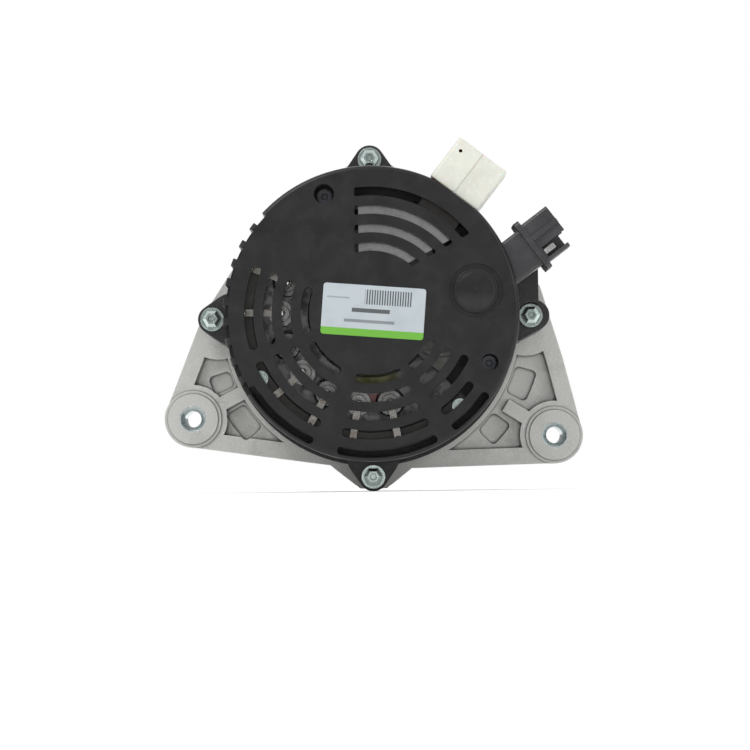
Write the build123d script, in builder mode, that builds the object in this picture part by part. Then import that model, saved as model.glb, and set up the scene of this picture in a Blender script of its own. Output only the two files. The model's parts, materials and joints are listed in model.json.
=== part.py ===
from build123d import *

import os
from math import asin, atan2, cos, degrees, radians, sin

os.makedirs("parts", exist_ok=True)

# Car alternator with a moulded rear cover and two mounting ears.
#
# The shaft lies along Y with the pulley towards +Y and the rear cover towards -Y.
# The origin is on the shaft axis, in the centre plane of the belt grooves.
# Seen from behind, +X is to the right, +Z is up, and angles run from +X towards +Z.

# ---------------------------------------------------------------- driving dimensions

# depths along the shaft
COVER_FACE = -134.0
COVER_SEAT = -112.0
REAR_LUG_FACE = -104.0
STATOR_REAR = -84.0
STATOR_FRONT = -52.0
EAR_REAR = -70.0
EAR_FRONT = -52.0
BRACKET_FRONT = -17.0

# rear cover
COVER_R = 72.25
COVER_SKIRT = 2.0
COVER_WALL = 2.5
COVER_EDGE = 2.4
SLOT_WIDTH = 4.3
SLOT_FIRST_R = 32.3
SLOT_PITCH = 9.05
NOTCH_COUNT = 10
NOTCH_FIRST = 139.2
NOTCH_PITCH = 7.95
NOTCH_SPAN = 5.0
NOTCH_DEPTH = 2.7
NOTCH_FOOT = 3.0
FLAT_ANGLE = 54.0
FLAT_R = 70.65
COVER_SCREW_R = 62.5
COVER_SCREWS = ((110.9, 4.9), (-23.2, 4.1))
PLUG_CENTRE = (51.0, 10.2)
PLUG_R = 10.9
PLUG_RECESS_R = 13.2
LABEL_CENTRE = (1.1, 0.6)
LABEL_TILT = -4.6

# clamping of the two brackets round the stator
BOLT_CIRCLE_R = 79.5
BOLT_R = 2.5
BOLT_PLAY = 0.25
FLANGE_PLAY = 0.7
BRACKET_R = 72.0
HOUSING_R = 75.5
STATOR_R = 71.0
STATOR_BORE_R = 54.0
STATOR_SLOTS = 36

# mounting ears
EAR_LEFT = (-92.5, -48.6)
EAR_RIGHT = (93.3, -59.0)
EAR_BOSS_R = 14.65
EAR_BUSH_R = 6.75
EAR_BORE_R = 4.25
BUSH_CHAMFER = 1.9

# rotor and its bearings
ROTOR_R = 53.5
ROTOR_FRONT = -40.0
ROTOR_REAR = -96.0
CLAWS = 6
FRONT_BEARING = {
    "front": -19.0,
    "rear": -33.0,
    "bore": 8.5,
    "outer": 23.5,
    "pitch": 16.0,
    "ball": 4.7625,
    "balls": 7,
}
REAR_BEARING = {
    "front": -104.0,
    "rear": -115.0,
    "bore": 7.5,
    "outer": 17.5,
    "pitch": 12.5,
    "ball": 2.9765,
    "balls": 8,
}
RUNNING_FIT = 0.04
SLIP_RING_R = 7.8
SLIP_RING_DEPTHS = (-126.0, -120.0)
SLIP_RING_HALF = 2.5
SPACER_R = 12.5
PULLEY_R = 28.0
PULLEY_RIBS = 6
RIB_PITCH = 3.56

# plug socket and battery terminal, each on an axis square to the shaft
CONNECTOR_ANGLE = 37.0
CONNECTOR_SIDE = -21.8
CONNECTOR_DEPTH = -121.5
COLLAR_OUT = 82.9
TERMINAL_ANGLE = 52.0
TERMINAL_SIDE = 3.5
TERMINAL_DEPTH = -121.5
CAP_START = 71.2
CAP_END = 95.4


# ---------------------------------------------------------------- planes and profiles

def facing_rear(y):
    """Plane square to the shaft at depth y: x right, y up, extrudes towards the rear."""
    return Plane.XZ.offset(-y)


def facing_out(angle, out, side, y):
    """Plane square to a direction in XZ: x is counter-clockwise, y is towards the rear."""
    c = cos(radians(angle))
    s = sin(radians(angle))
    origin = (out * c - side * s, y, out * s + side * c)
    return Plane(origin=origin, x_dir=(-s, 0, c), z_dir=(c, 0, s))


def polar(radius, angle):
    """Point at a radius and angle, in a plane square to the shaft."""
    return (radius * cos(radians(angle)), radius * sin(radians(angle)))


def ring(front, rear, outer, inner, mode=Mode.ADD):
    """Ring about the shaft."""
    with BuildSketch(facing_rear(front)) as profile:
        Circle(outer)
        if inner:
            Circle(inner, mode=Mode.SUBTRACT)
    extrude(profile.sketch, amount=front - rear, mode=mode)


def disc(front, rear, centre, radius, mode=Mode.ADD):
    """Round boss, or hole, parallel to the shaft."""
    with BuildSketch(facing_rear(front)) as profile:
        with Locations(centre):
            Circle(radius)
    extrude(profile.sketch, amount=front - rear, mode=mode)


def sector(outer, inner, start, end, mode=Mode.ADD):
    """Sector of an annulus, with radial ends, in the current sketch."""
    middle = (start + end) / 2
    with BuildLine(mode=Mode.PRIVATE) as outline:
        ThreePointArc(polar(outer, start), polar(outer, middle), polar(outer, end))
        Line(polar(outer, end), polar(inner, end))
        ThreePointArc(polar(inner, end), polar(inner, middle), polar(inner, start))
        Line(polar(inner, start), polar(outer, start))
    make_face(outline.edges(), mode=mode)


def arc_slot(radius, start, end, width, mode=Mode.ADD):
    """Concentric slot with round ends that reach the two angles, in the current sketch."""
    end_angle = degrees(asin(width / 2 / radius))
    centre_line = Edge.make_circle(radius, start_angle=start + end_angle, end_angle=end - end_angle)
    SlotArc(centre_line, width, mode=mode)


def sector_block(front, rear, outer, inner, start, end, mode=Mode.ADD):
    """Sector of a ring about the shaft."""
    with BuildSketch(facing_rear(front)) as profile:
        sector(outer, inner, start, end)
    extrude(profile.sketch, amount=front - rear, mode=mode)


def lug_profile(angle, tip_r, root_r, root_at):
    """Bolt lug that flares into the round body, in the current sketch."""
    with BuildSketch(Plane.XY, mode=Mode.PRIVATE) as lug:
        with Locations(polar(BOLT_CIRCLE_R, angle)):
            Circle(tip_r)
        with Locations(polar(root_at, angle)):
            Circle(root_r)
        make_hull()
    add(lug.sketch)


BOLT_ANGLES = (0, 90, 180, 270)

# ---------------------------------------------------------------- rear cover

SLOT_RADII = [SLOT_FIRST_R + SLOT_PITCH * step for step in range(5)]
# first ring, last ring, start angle, end angle
SLOT_RUNS = (
    (0, 3, 157.0, 197.0),
    (0, 0, 206.0, 242.0),
    (1, 3, 203.0, 245.0),
    (4, 4, 211.0, 245.0),
    (0, 4, 255.5, 297.0),
    (0, 2, 304.5, 335.0),
    (3, 4, 304.5, 324.5),
)
UPPER_SLOT_LEFT = -7.6
UPPER_SLOT_INNER = (22.0, 23.3)
UPPER_SLOT_OUTER = (62.0, 45.6)

PLUG_RECESS = 1.0
SCREW_BOSS_WALL = 2.0
SCREW_BOSS_FOOT = -114.0
SCREW_SEAT = -120.0
SCREW_SHANK_R = 2.0
SCREW_PLAY = 0.3
UPPER_SLOT_CORNER = 1.1
NECK_OPENING = (21.8, 16.0)
TERMINAL_OPENING = (23.0, 13.0)

with BuildPart() as rear_cover:
    ring(COVER_SEAT, COVER_FACE, COVER_R, 0)
    fillet(rear_cover.edges().group_by(Axis.Y)[0], radius=COVER_EDGE)
    ring(COVER_SEAT, COVER_FACE + COVER_WALL, COVER_R - COVER_SKIRT, 0, mode=Mode.SUBTRACT)

    # flat beside the battery terminal
    with BuildSketch(facing_out(FLAT_ANGLE, FLAT_R, 0, COVER_FACE)):
        Rectangle(COVER_R, 4 * COVER_R)
    extrude(amount=COVER_R, mode=Mode.SUBTRACT)

    # concentric cooling slots
    with BuildSketch(facing_rear(COVER_FACE + COVER_WALL)):
        for first, last, start, end in SLOT_RUNS:
            for radius in SLOT_RADII[first:last + 1]:
                arc_slot(radius, start, end, SLOT_WIDTH)
    extrude(amount=COVER_WALL, mode=Mode.SUBTRACT)

    # upper slots, cut square on the left and on a slant on the right
    with BuildSketch(facing_rear(COVER_FACE + COVER_WALL)) as upper_slots:
        for radius in reversed(SLOT_RADII[:4]):
            Circle(radius + SLOT_WIDTH / 2)
            Circle(radius - SLOT_WIDTH / 2, mode=Mode.SUBTRACT)
        with BuildSketch(Plane.XY, mode=Mode.PRIVATE) as upper_region:
            with BuildLine():
                Polyline(
                    (UPPER_SLOT_LEFT, 0),
                    UPPER_SLOT_INNER,
                    UPPER_SLOT_OUTER,
                    (UPPER_SLOT_OUTER[0], COVER_R),
                    (UPPER_SLOT_LEFT, COVER_R),
                    close=True,
                )
            make_face()
        add(upper_region.sketch, mode=Mode.INTERSECT)
        fillet(upper_slots.vertices(), radius=UPPER_SLOT_CORNER)
    extrude(amount=COVER_WALL, mode=Mode.SUBTRACT)

    # comb-like rim: notches that run down the skirt and stop at a foot ring
    with BuildSketch(facing_rear(COVER_SEAT - NOTCH_FOOT)):
        for notch in range(NOTCH_COUNT):
            middle = NOTCH_FIRST + NOTCH_PITCH * notch
            sector(
                COVER_R + 1, COVER_R - NOTCH_DEPTH, middle - NOTCH_SPAN / 2, middle + NOTCH_SPAN / 2
            )
    extrude(amount=-COVER_FACE, mode=Mode.SUBTRACT)

    # bosses and counterbores for the two cover screws
    for angle, hole_r in COVER_SCREWS:
        place = polar(COVER_SCREW_R, angle)
        disc(SCREW_BOSS_FOOT, COVER_FACE + COVER_WALL, place, hole_r + SCREW_BOSS_WALL)
        disc(SCREW_SEAT, COVER_FACE, place, hole_r, mode=Mode.SUBTRACT)
        disc(SCREW_BOSS_FOOT, SCREW_SEAT, place, SCREW_SHANK_R + SCREW_PLAY, mode=Mode.SUBTRACT)

    # round recess for the plug
    disc(COVER_FACE + PLUG_RECESS, COVER_FACE, PLUG_CENTRE, PLUG_RECESS_R, mode=Mode.SUBTRACT)

    # openings in the skirt for the plug socket's neck and the battery terminal
    with BuildSketch(facing_out(CONNECTOR_ANGLE, 40.0, CONNECTOR_SIDE, CONNECTOR_DEPTH)):
        Rectangle(*NECK_OPENING)
    extrude(amount=COVER_R, mode=Mode.SUBTRACT)
    with BuildSketch(facing_out(TERMINAL_ANGLE, 60.0, TERMINAL_SIDE, TERMINAL_DEPTH)):
        Rectangle(*TERMINAL_OPENING)
    extrude(amount=COVER_R, mode=Mode.SUBTRACT)
rear_cover.part.label = "rear_cover"

PLUG_PROUD = 1.2
PLUG_EDGE = 1.6

with BuildPart() as cover_plug:
    disc(COVER_FACE + PLUG_RECESS, COVER_FACE - PLUG_PROUD, PLUG_CENTRE, PLUG_R)
    fillet(cover_plug.edges().group_by(Axis.Y)[0], radius=PLUG_EDGE)
cover_plug.part.label = "cover_plug"

COVER_SCREW_HEAD = (3.7, 3.0)
COVER_SCREW_TIP = -104.0

with BuildPart() as cover_screws:
    for angle, hole_r in COVER_SCREWS:
        place = polar(COVER_SCREW_R, angle)
        disc(SCREW_SEAT, SCREW_SEAT - COVER_SCREW_HEAD[1], place, COVER_SCREW_HEAD[0])
        disc(COVER_SCREW_TIP, SCREW_SEAT, place, SCREW_SHANK_R)
        with BuildSketch(facing_rear(SCREW_SEAT - COVER_SCREW_HEAD[1] / 2)):
            with Locations(place):
                RegularPolygon(COVER_SCREW_HEAD[0] / 2, 6)
        extrude(amount=COVER_SCREW_HEAD[1], mode=Mode.SUBTRACT)
cover_screws.part.label = "cover_screws"

LABEL_SIZE = (50.0, 25.0)
LABEL_CORNER = 1.5
LABEL_THICK = 0.25

with BuildPart() as rating_label:
    with BuildSketch(facing_rear(COVER_FACE)):
        with Locations(Location(LABEL_CENTRE, LABEL_TILT)):
            RectangleRounded(*LABEL_SIZE, LABEL_CORNER)
    extrude(amount=LABEL_THICK)
rating_label.part.label = "rating_label"

# ---------------------------------------------------------------- slip-ring-end bracket

REAR_LIP = -78.0
REAR_LIP_R = 74.0
REAR_LIP_OVERLAP = 2.5
REAR_SHELL = 3.0
REAR_END_WALL = 4.0
REAR_HUB_R = 23.0
REAR_HUB_FRONT = -103.5
REAR_HUB_REAR = -116.0
REAR_HUB_LIP_R = 14.5
SLEEVE_R = 19.0
REAR_LUG_TIP_R = 7.2
REAR_LUG_ROOT_R = 13.4
LUG_ROOT_AT = 68.5
REAR_VENTS = 12
REAR_VENT = (47.0, 28.0, 10.0)
SIDE_VENTS = 24
SIDE_VENT_HALF = 4.0
REAR_SIDE_VENT = (-88.0, -103.0)
FULL_LUG = (81.4, 0.2)
FULL_LUG_R = 7.6
ARM = ((66.0, 0.0), (83.2, 2.0), (83.2, 25.0), (62.0, 34.0))
ARM_FRONT = -94.0
ARM_REAR = -110.0
SCREW_BOSS_R = 5.5
BOLT_FLANGE_R = 5.9

with BuildPart() as slip_ring_end_bracket:
    ring(REAR_LIP, COVER_SEAT, BRACKET_R, 0)
    fillet(slip_ring_end_bracket.edges().group_by(Axis.Y)[0], radius=1.0)
    ring(REAR_LIP, STATOR_REAR - REAR_LIP_OVERLAP, REAR_LIP_R, 0)
    with BuildSketch(facing_rear(REAR_LIP)):
        for angle in BOLT_ANGLES:
            lug_profile(angle, REAR_LUG_TIP_R, REAR_LUG_ROOT_R, LUG_ROOT_AT)
    extrude(amount=REAR_LIP - REAR_LUG_FACE)

    # the right-hand lug is fuller, and an arm rises from it to carry the plug socket
    with BuildSketch(facing_rear(REAR_LIP)):
        with Locations(FULL_LUG):
            Circle(FULL_LUG_R)
        with Locations((LUG_ROOT_AT, 0)):
            Circle(REAR_LUG_ROOT_R)
        make_hull()
    extrude(amount=REAR_LIP - REAR_LUG_FACE)
    with BuildSketch(facing_rear(ARM_FRONT)):
        with BuildLine():
            Polyline(*ARM, close=True)
        make_face()
    extrude(amount=ARM_FRONT - ARM_REAR)

    # bowl over the rear end turns, with a seat for the stator
    ring(REAR_LIP, STATOR_REAR, STATOR_R, 0, mode=Mode.SUBTRACT)
    ring(STATOR_REAR, COVER_SEAT + REAR_END_WALL, BRACKET_R - REAR_SHELL, 0, mode=Mode.SUBTRACT)
    ring(REAR_HUB_FRONT, REAR_HUB_REAR, REAR_HUB_R, 0)
    ring(REAR_HUB_FRONT, REAR_BEARING["rear"], SLEEVE_R, 0, mode=Mode.SUBTRACT)
    ring(REAR_HUB_FRONT, REAR_HUB_REAR, REAR_HUB_LIP_R, 0, mode=Mode.SUBTRACT)

    # air windows through the end wall and through the side
    with BuildSketch(facing_rear(COVER_SEAT + REAR_END_WALL)):
        for vent in range(REAR_VENTS):
            middle = 360 / REAR_VENTS * vent
            outer, inner, half = REAR_VENT
            sector(outer, inner, middle - half, middle + half)
    extrude(amount=REAR_END_WALL, mode=Mode.SUBTRACT)
    with BuildSketch(facing_rear(REAR_SIDE_VENT[0])):
        for vent in range(SIDE_VENTS):
            middle = 360 / SIDE_VENTS * (vent + 0.5)
            sector(
                BRACKET_R + 1,
                BRACKET_R - REAR_SHELL - 1,
                middle - SIDE_VENT_HALF,
                middle + SIDE_VENT_HALF,
            )
    extrude(amount=REAR_SIDE_VENT[0] - REAR_SIDE_VENT[1], mode=Mode.SUBTRACT)

    # bolt and screw holes
    with BuildSketch(facing_rear(REAR_LIP)):
        with PolarLocations(BOLT_CIRCLE_R, 4):
            Circle(BOLT_R + BOLT_PLAY)
    extrude(amount=REAR_LIP - REAR_LUG_FACE, mode=Mode.SUBTRACT)
    with BuildSketch(facing_rear(REAR_LUG_FACE)):
        with PolarLocations(BOLT_CIRCLE_R, 4):
            Circle(BOLT_FLANGE_R + FLANGE_PLAY)
    extrude(amount=REAR_LUG_FACE - COVER_SEAT, mode=Mode.SUBTRACT)
    for angle, hole_r in COVER_SCREWS:
        place = polar(COVER_SCREW_R, angle)
        disc(COVER_SCREW_TIP, SCREW_BOSS_FOOT, place, SCREW_BOSS_R)
        disc(COVER_SCREW_TIP, SCREW_BOSS_FOOT, place, SCREW_SHANK_R, mode=Mode.SUBTRACT)
slip_ring_end_bracket.part.label = "slip_ring_end_bracket"

BOLT_FLANGE = 1.3
BOLT_ACROSS_FLATS = 8.0
BOLT_HEAD = 4.4
BOLT_CHAMFER = 1.4
BOLT_CHAMFER_ANGLE = 44.0
BOLT_DISH_R = 1.7
BOLT_DISH = 0.7
BOLT_TIP = -46.0

with BuildPart() as through_bolts:
    for angle in BOLT_ANGLES:
        place = polar(BOLT_CIRCLE_R, angle)
        disc(BOLT_TIP, REAR_LUG_FACE, place, BOLT_R)
        disc(REAR_LUG_FACE, REAR_LUG_FACE - BOLT_FLANGE, place, BOLT_FLANGE_R)
        head_rear = REAR_LUG_FACE - BOLT_FLANGE - BOLT_HEAD
        with BuildSketch(facing_rear(REAR_LUG_FACE - BOLT_FLANGE)):
            with Locations(place):
                RegularPolygon(BOLT_ACROSS_FLATS / 2, 6, major_radius=False)
        extrude(amount=BOLT_HEAD - BOLT_CHAMFER)
        with BuildSketch(facing_rear(head_rear + BOLT_CHAMFER)):
            with Locations(place):
                RegularPolygon(BOLT_ACROSS_FLATS / 2, 6, major_radius=False)
        extrude(amount=BOLT_CHAMFER, taper=BOLT_CHAMFER_ANGLE)
        disc(head_rear + BOLT_DISH, head_rear, place, BOLT_DISH_R, mode=Mode.SUBTRACT)
through_bolts.part.label = "through_bolts"

# ---------------------------------------------------------------- stator

SLOT_INNER_R = 56.0
SLOT_OUTER_R = 66.5
SLOT_OPEN = 4.4
SLOT_MOUTH = 2.0
LINER = 0.3
COIL_FRONT = -38.0
COIL_REAR = -98.0
COIL_INNER_R = 56.5
COIL_OUTER_R = 68.0
COIL_CORNER = 3.0
COIL_OVERLAP = 2.0


def stator_slots(width, outer, inner, mode=Mode.ADD):
    """One rectangle for each stator slot, in the current sketch."""
    with PolarLocations((outer + inner) / 2, STATOR_SLOTS, start_angle=180 / STATOR_SLOTS):
        Rectangle(outer - inner, width, mode=mode)


with BuildPart() as stator_core:
    with BuildSketch(facing_rear(STATOR_FRONT)):
        Circle(STATOR_R)
        Circle(STATOR_BORE_R, mode=Mode.SUBTRACT)
        stator_slots(SLOT_OPEN, SLOT_OUTER_R, SLOT_INNER_R, mode=Mode.SUBTRACT)
        stator_slots(SLOT_MOUTH, SLOT_INNER_R + 1, STATOR_BORE_R - 1, mode=Mode.SUBTRACT)
    extrude(amount=STATOR_FRONT - STATOR_REAR)
stator_core.part.label = "stator_core"

with BuildPart() as slot_liners:
    with BuildSketch(facing_rear(STATOR_FRONT + 1)):
        stator_slots(SLOT_OPEN, SLOT_OUTER_R, SLOT_INNER_R)
        stator_slots(
            SLOT_OPEN - 2 * LINER, SLOT_OUTER_R - LINER, SLOT_INNER_R + LINER, mode=Mode.SUBTRACT
        )
    extrude(amount=STATOR_FRONT - STATOR_REAR + 2)
slot_liners.part.label = "slot_liners"

with BuildPart() as stator_winding:
    with BuildSketch(facing_rear(STATOR_FRONT + COIL_OVERLAP)):
        stator_slots(SLOT_OPEN - 2 * LINER, SLOT_OUTER_R - LINER, SLOT_INNER_R + LINER)
    extrude(amount=STATOR_FRONT - STATOR_REAR + 2 * COIL_OVERLAP)
    for near, far in (
        (STATOR_FRONT + COIL_OVERLAP, COIL_FRONT),
        (STATOR_REAR - COIL_OVERLAP, COIL_REAR),
    ):
        with BuildSketch(Plane.XY):
            with Locations(((COIL_OUTER_R + COIL_INNER_R) / 2, (near + far) / 2)):
                RectangleRounded(COIL_OUTER_R - COIL_INNER_R, abs(far - near), COIL_CORNER)
        revolve(axis=Axis.Y)
stator_winding.part.label = "stator_winding"

# ---------------------------------------------------------------- drive-end bracket

SHOULDER_R = 69.5
FRONT_HUB_R = 28.5
FRONT_HUB_REAR = -33.0
FRONT_LUG_TIP_R = 8.9
FRONT_LUG_REACH = 85.6
FRONT_LUG_ROOT_R = 32.0
FRONT_LUG_ROOT_AT = 50.0
RIM = 8.5
PANEL = 5.5
POCKET = 2.5
BOSS_DRAFT = 0.2
POCKET_RADII = (89.3, 77.6)
POCKET_CORNER = 2.6
RIB = 7.0
FACE_STEP = 2.0


def ear_outline(boss, helpers):
    """Ear blank: the boss, the bolt lug and the round body wrapped together."""
    with BuildSketch(Plane.XY, mode=Mode.PRIVATE) as blank:
        Circle(HOUSING_R)
        with Locations(boss):
            Circle(EAR_BOSS_R - BOSS_DRAFT)
        for helper_x, helper_z, helper_r in helpers:
            with Locations((helper_x, helper_z)):
                Circle(helper_r)
        make_hull()
    return blank.sketch


# boss centre, the other circles that its outline wraps (x, z, radius), and its pockets' angles
EARS = (
    (EAR_LEFT, ((-79.5, 0.0, 8.9),), ((-162.5, -156.0), (-148.7, -137.2))),
    (
        EAR_RIGHT,
        ((79.5, 0.0, 9.5), (89.0, -13.0, 6.0), (92.3, -21.0, 6.2), (82.0, 15.5, 5.6)),
        ((-27.9, -16.9), (-46.0, -36.7)),
    ),
)
PANEL_MARGIN = 1.0
BOSS_MARGIN = 3.0
LUG_MARGIN = 9.0
BOSS_STEP = 1.75
FRONT_WINDOW = (58.0, 33.0, 9.5)
FRONT_SIDE_VENT = (-24.0, -37.0)
SIDE_VENT_REACH = 8.0
HUB_LIP = 4.0
RETAINER_SCREW_CIRCLE = 26.0
RETAINER_SCREW_R = 1.0
RETAINER_SCREW_DEEP = 8.0
FRONT_WINDOWS = 12
FRONT_WALL = 5.0
FRONT_LUG_FRONT = -44.0
FRONT_BEND = -38.0
FRONT_NOSE_R = 68.0

with BuildPart() as drive_end_bracket:
    # bowl over the front end turns, with a skirt that grips the stator
    with BuildSketch(Plane.XY):
        with BuildLine():
            Polyline(
                (HOUSING_R, EAR_REAR),
                (HOUSING_R, FRONT_BEND),
                (FRONT_NOSE_R, BRACKET_FRONT),
                (FRONT_HUB_R - 1, BRACKET_FRONT),
                (FRONT_HUB_R - 1, BRACKET_FRONT - FRONT_WALL),
                (FRONT_NOSE_R - FRONT_WALL, BRACKET_FRONT - FRONT_WALL),
                (SHOULDER_R, FRONT_BEND),
                (SHOULDER_R, STATOR_FRONT),
                (STATOR_R, STATOR_FRONT),
                (STATOR_R, EAR_REAR),
                close=True,
            )
        make_face()
    revolve(axis=Axis.Y)

    # bolt lugs and ears, kept clear of the stator and its end turns
    with BuildSketch(facing_rear(FRONT_LUG_FRONT)):
        for angle in BOLT_ANGLES:
            lug_profile(angle, FRONT_LUG_TIP_R, FRONT_LUG_ROOT_R, FRONT_LUG_ROOT_AT)
        Circle(FRONT_LUG_REACH, mode=Mode.INTERSECT)
        Circle(STATOR_R + 1, mode=Mode.SUBTRACT)
    extrude(amount=FRONT_LUG_FRONT - EAR_REAR)
    for boss, helpers, pockets in EARS:
        blank = ear_outline(boss, helpers)
        boss_r = Vector(*boss).length
        boss_angle = degrees(atan2(boss[1], boss[0]))
        with BuildSketch(facing_rear(EAR_FRONT)):
            add(blank)
            Circle(STATOR_R + 1, mode=Mode.SUBTRACT)
        extrude(amount=EAR_FRONT - EAR_REAR)

        # sunk panel on both faces, with a rib left standing from the boss to the body
        inner = offset(blank, amount=-RIM, mode=Mode.PRIVATE)
        for near, far in ((EAR_REAR + PANEL, EAR_REAR), (EAR_FRONT, EAR_FRONT - PANEL)):
            with BuildSketch(facing_rear(near)):
                add(inner)
                Circle(HOUSING_R + PANEL_MARGIN, mode=Mode.SUBTRACT)
                with Locations(boss):
                    Circle(EAR_BOSS_R + BOSS_MARGIN, mode=Mode.SUBTRACT)
                with Locations(Location(polar(boss_r - EAR_BOSS_R, boss_angle), boss_angle)):
                    Rectangle(2 * EAR_BOSS_R, RIB, mode=Mode.SUBTRACT)
                for angle in BOLT_ANGLES:
                    with Locations(polar(BOLT_CIRCLE_R, angle)):
                        Circle(FRONT_LUG_TIP_R + LUG_MARGIN, mode=Mode.SUBTRACT)
            extrude(amount=near - far, mode=Mode.SUBTRACT)

        # two pockets with rounded corners, one each side of the rib
        for start, end in pockets:
            with BuildSketch(facing_rear(EAR_REAR + PANEL + POCKET)) as pocket:
                sector(*POCKET_RADII, start, end)
                fillet(pocket.vertices(), radius=POCKET_CORNER)
            extrude(amount=POCKET + PANEL, mode=Mode.SUBTRACT)

        disc(EAR_FRONT + FACE_STEP, EAR_REAR - FACE_STEP / 2, boss, EAR_BOSS_R)
        disc(EAR_FRONT + FACE_STEP, EAR_REAR - FACE_STEP, boss, EAR_BOSS_R - BOSS_STEP)
        disc(EAR_FRONT + FACE_STEP, EAR_REAR - FACE_STEP, boss, EAR_BUSH_R, mode=Mode.SUBTRACT)

    # bearing hub with a front lip
    ring(BRACKET_FRONT, FRONT_HUB_REAR, FRONT_HUB_R, FRONT_BEARING["outer"])
    ring(BRACKET_FRONT, FRONT_BEARING["front"], FRONT_HUB_R, FRONT_BEARING["outer"] - HUB_LIP)

    # air windows in the front wall and round its cone
    with BuildSketch(facing_rear(BRACKET_FRONT)):
        for window in range(FRONT_WINDOWS):
            middle = 360 / FRONT_WINDOWS * (window + 0.5)
            outer, inner, half = FRONT_WINDOW
            sector(outer, inner, middle - half, middle + half)
    extrude(amount=FRONT_WALL, mode=Mode.SUBTRACT)
    with BuildSketch(facing_rear(FRONT_SIDE_VENT[0])):
        for vent in range(SIDE_VENTS):
            middle = 360 / SIDE_VENTS * (vent + 0.5)
            sector(
                HOUSING_R + 1,
                FRONT_NOSE_R - SIDE_VENT_REACH,
                middle - SIDE_VENT_HALF,
                middle + SIDE_VENT_HALF,
            )
    extrude(amount=FRONT_SIDE_VENT[0] - FRONT_SIDE_VENT[1], mode=Mode.SUBTRACT)

    with BuildSketch(facing_rear(BOLT_TIP)):
        with PolarLocations(BOLT_CIRCLE_R, 4):
            Circle(BOLT_R)
    extrude(amount=BOLT_TIP - EAR_REAR, mode=Mode.SUBTRACT)
    with BuildSketch(facing_rear(FRONT_HUB_REAR + RETAINER_SCREW_DEEP)):
        with PolarLocations(RETAINER_SCREW_CIRCLE, 4, start_angle=45):
            Circle(RETAINER_SCREW_R)
    extrude(amount=RETAINER_SCREW_DEEP, mode=Mode.SUBTRACT)
drive_end_bracket.part.label = "drive_end_bracket"

for side, boss in (("left", EAR_LEFT), ("right", EAR_RIGHT)):
    with BuildPart() as ear_bush:
        disc(EAR_FRONT + FACE_STEP, EAR_REAR - FACE_STEP, boss, EAR_BUSH_R)
        disc(EAR_FRONT + FACE_STEP, EAR_REAR - FACE_STEP, boss, EAR_BORE_R, mode=Mode.SUBTRACT)
        chamfer(ear_bush.edges().filter_by(GeomType.CIRCLE).sort_by(SortBy.RADIUS)[:2], length=BUSH_CHAMFER)
    ear_bush.part.label = f"ear_bush_{side}"
    export_step(ear_bush.part, f"parts/{ear_bush.part.label}.step")

RETAINER = 1.5
RETAINER_SIZE = 46.0
RETAINER_CORNER = 9.0
RETAINER_BORE_R = 19.5
RETAINER_HEAD = (2.2, 1.6)

with BuildPart() as bearing_retainer:
    with BuildSketch(facing_rear(FRONT_HUB_REAR)):
        RectangleRounded(RETAINER_SIZE, RETAINER_SIZE, RETAINER_CORNER)
        Circle(FRONT_HUB_R, mode=Mode.INTERSECT)
        Circle(RETAINER_BORE_R, mode=Mode.SUBTRACT)
        with PolarLocations(RETAINER_SCREW_CIRCLE, 4, start_angle=45):
            Circle(RETAINER_SCREW_R, mode=Mode.SUBTRACT)
    extrude(amount=RETAINER)
bearing_retainer.part.label = "bearing_retainer"

with BuildPart() as retainer_screws:
    with BuildSketch(facing_rear(FRONT_HUB_REAR + RETAINER_SCREW_DEEP)):
        with PolarLocations(RETAINER_SCREW_CIRCLE, 4, start_angle=45):
            Circle(RETAINER_SCREW_R)
    extrude(amount=RETAINER_SCREW_DEEP + RETAINER)
    with BuildSketch(facing_rear(FRONT_HUB_REAR - RETAINER)):
        with PolarLocations(RETAINER_SCREW_CIRCLE, 4, start_angle=45):
            Circle(RETAINER_HEAD[0])
    extrude(amount=RETAINER_HEAD[1])
retainer_screws.part.label = "retainer_screws"

# ---------------------------------------------------------------- ball bearings

LAND = 0.62
CAGE_HALF = 1.1
CAGE_LENGTH = 1.16
POCKET_GAP = 0.1
SEAL = 0.8
SEAL_SINK = 0.3
SEAL_GAP = 0.35


def ball_centres(bearing):
    """One location for each ball of a bearing."""
    middle = (bearing["front"] + bearing["rear"]) / 2
    step = 360 / bearing["balls"]
    places = [polar(bearing["pitch"], step * ball) for ball in range(bearing["balls"])]
    return [Location((x, middle, z)) for x, z in places]


def race_groove(bearing):
    """Ball track cut into the ring of the current part."""
    with BuildSketch(Plane.XY) as track:
        with Locations((bearing["pitch"], (bearing["front"] + bearing["rear"]) / 2)):
            Circle(bearing["ball"] + RUNNING_FIT)
    revolve(track.sketch, axis=Axis.Y, mode=Mode.SUBTRACT)


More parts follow.
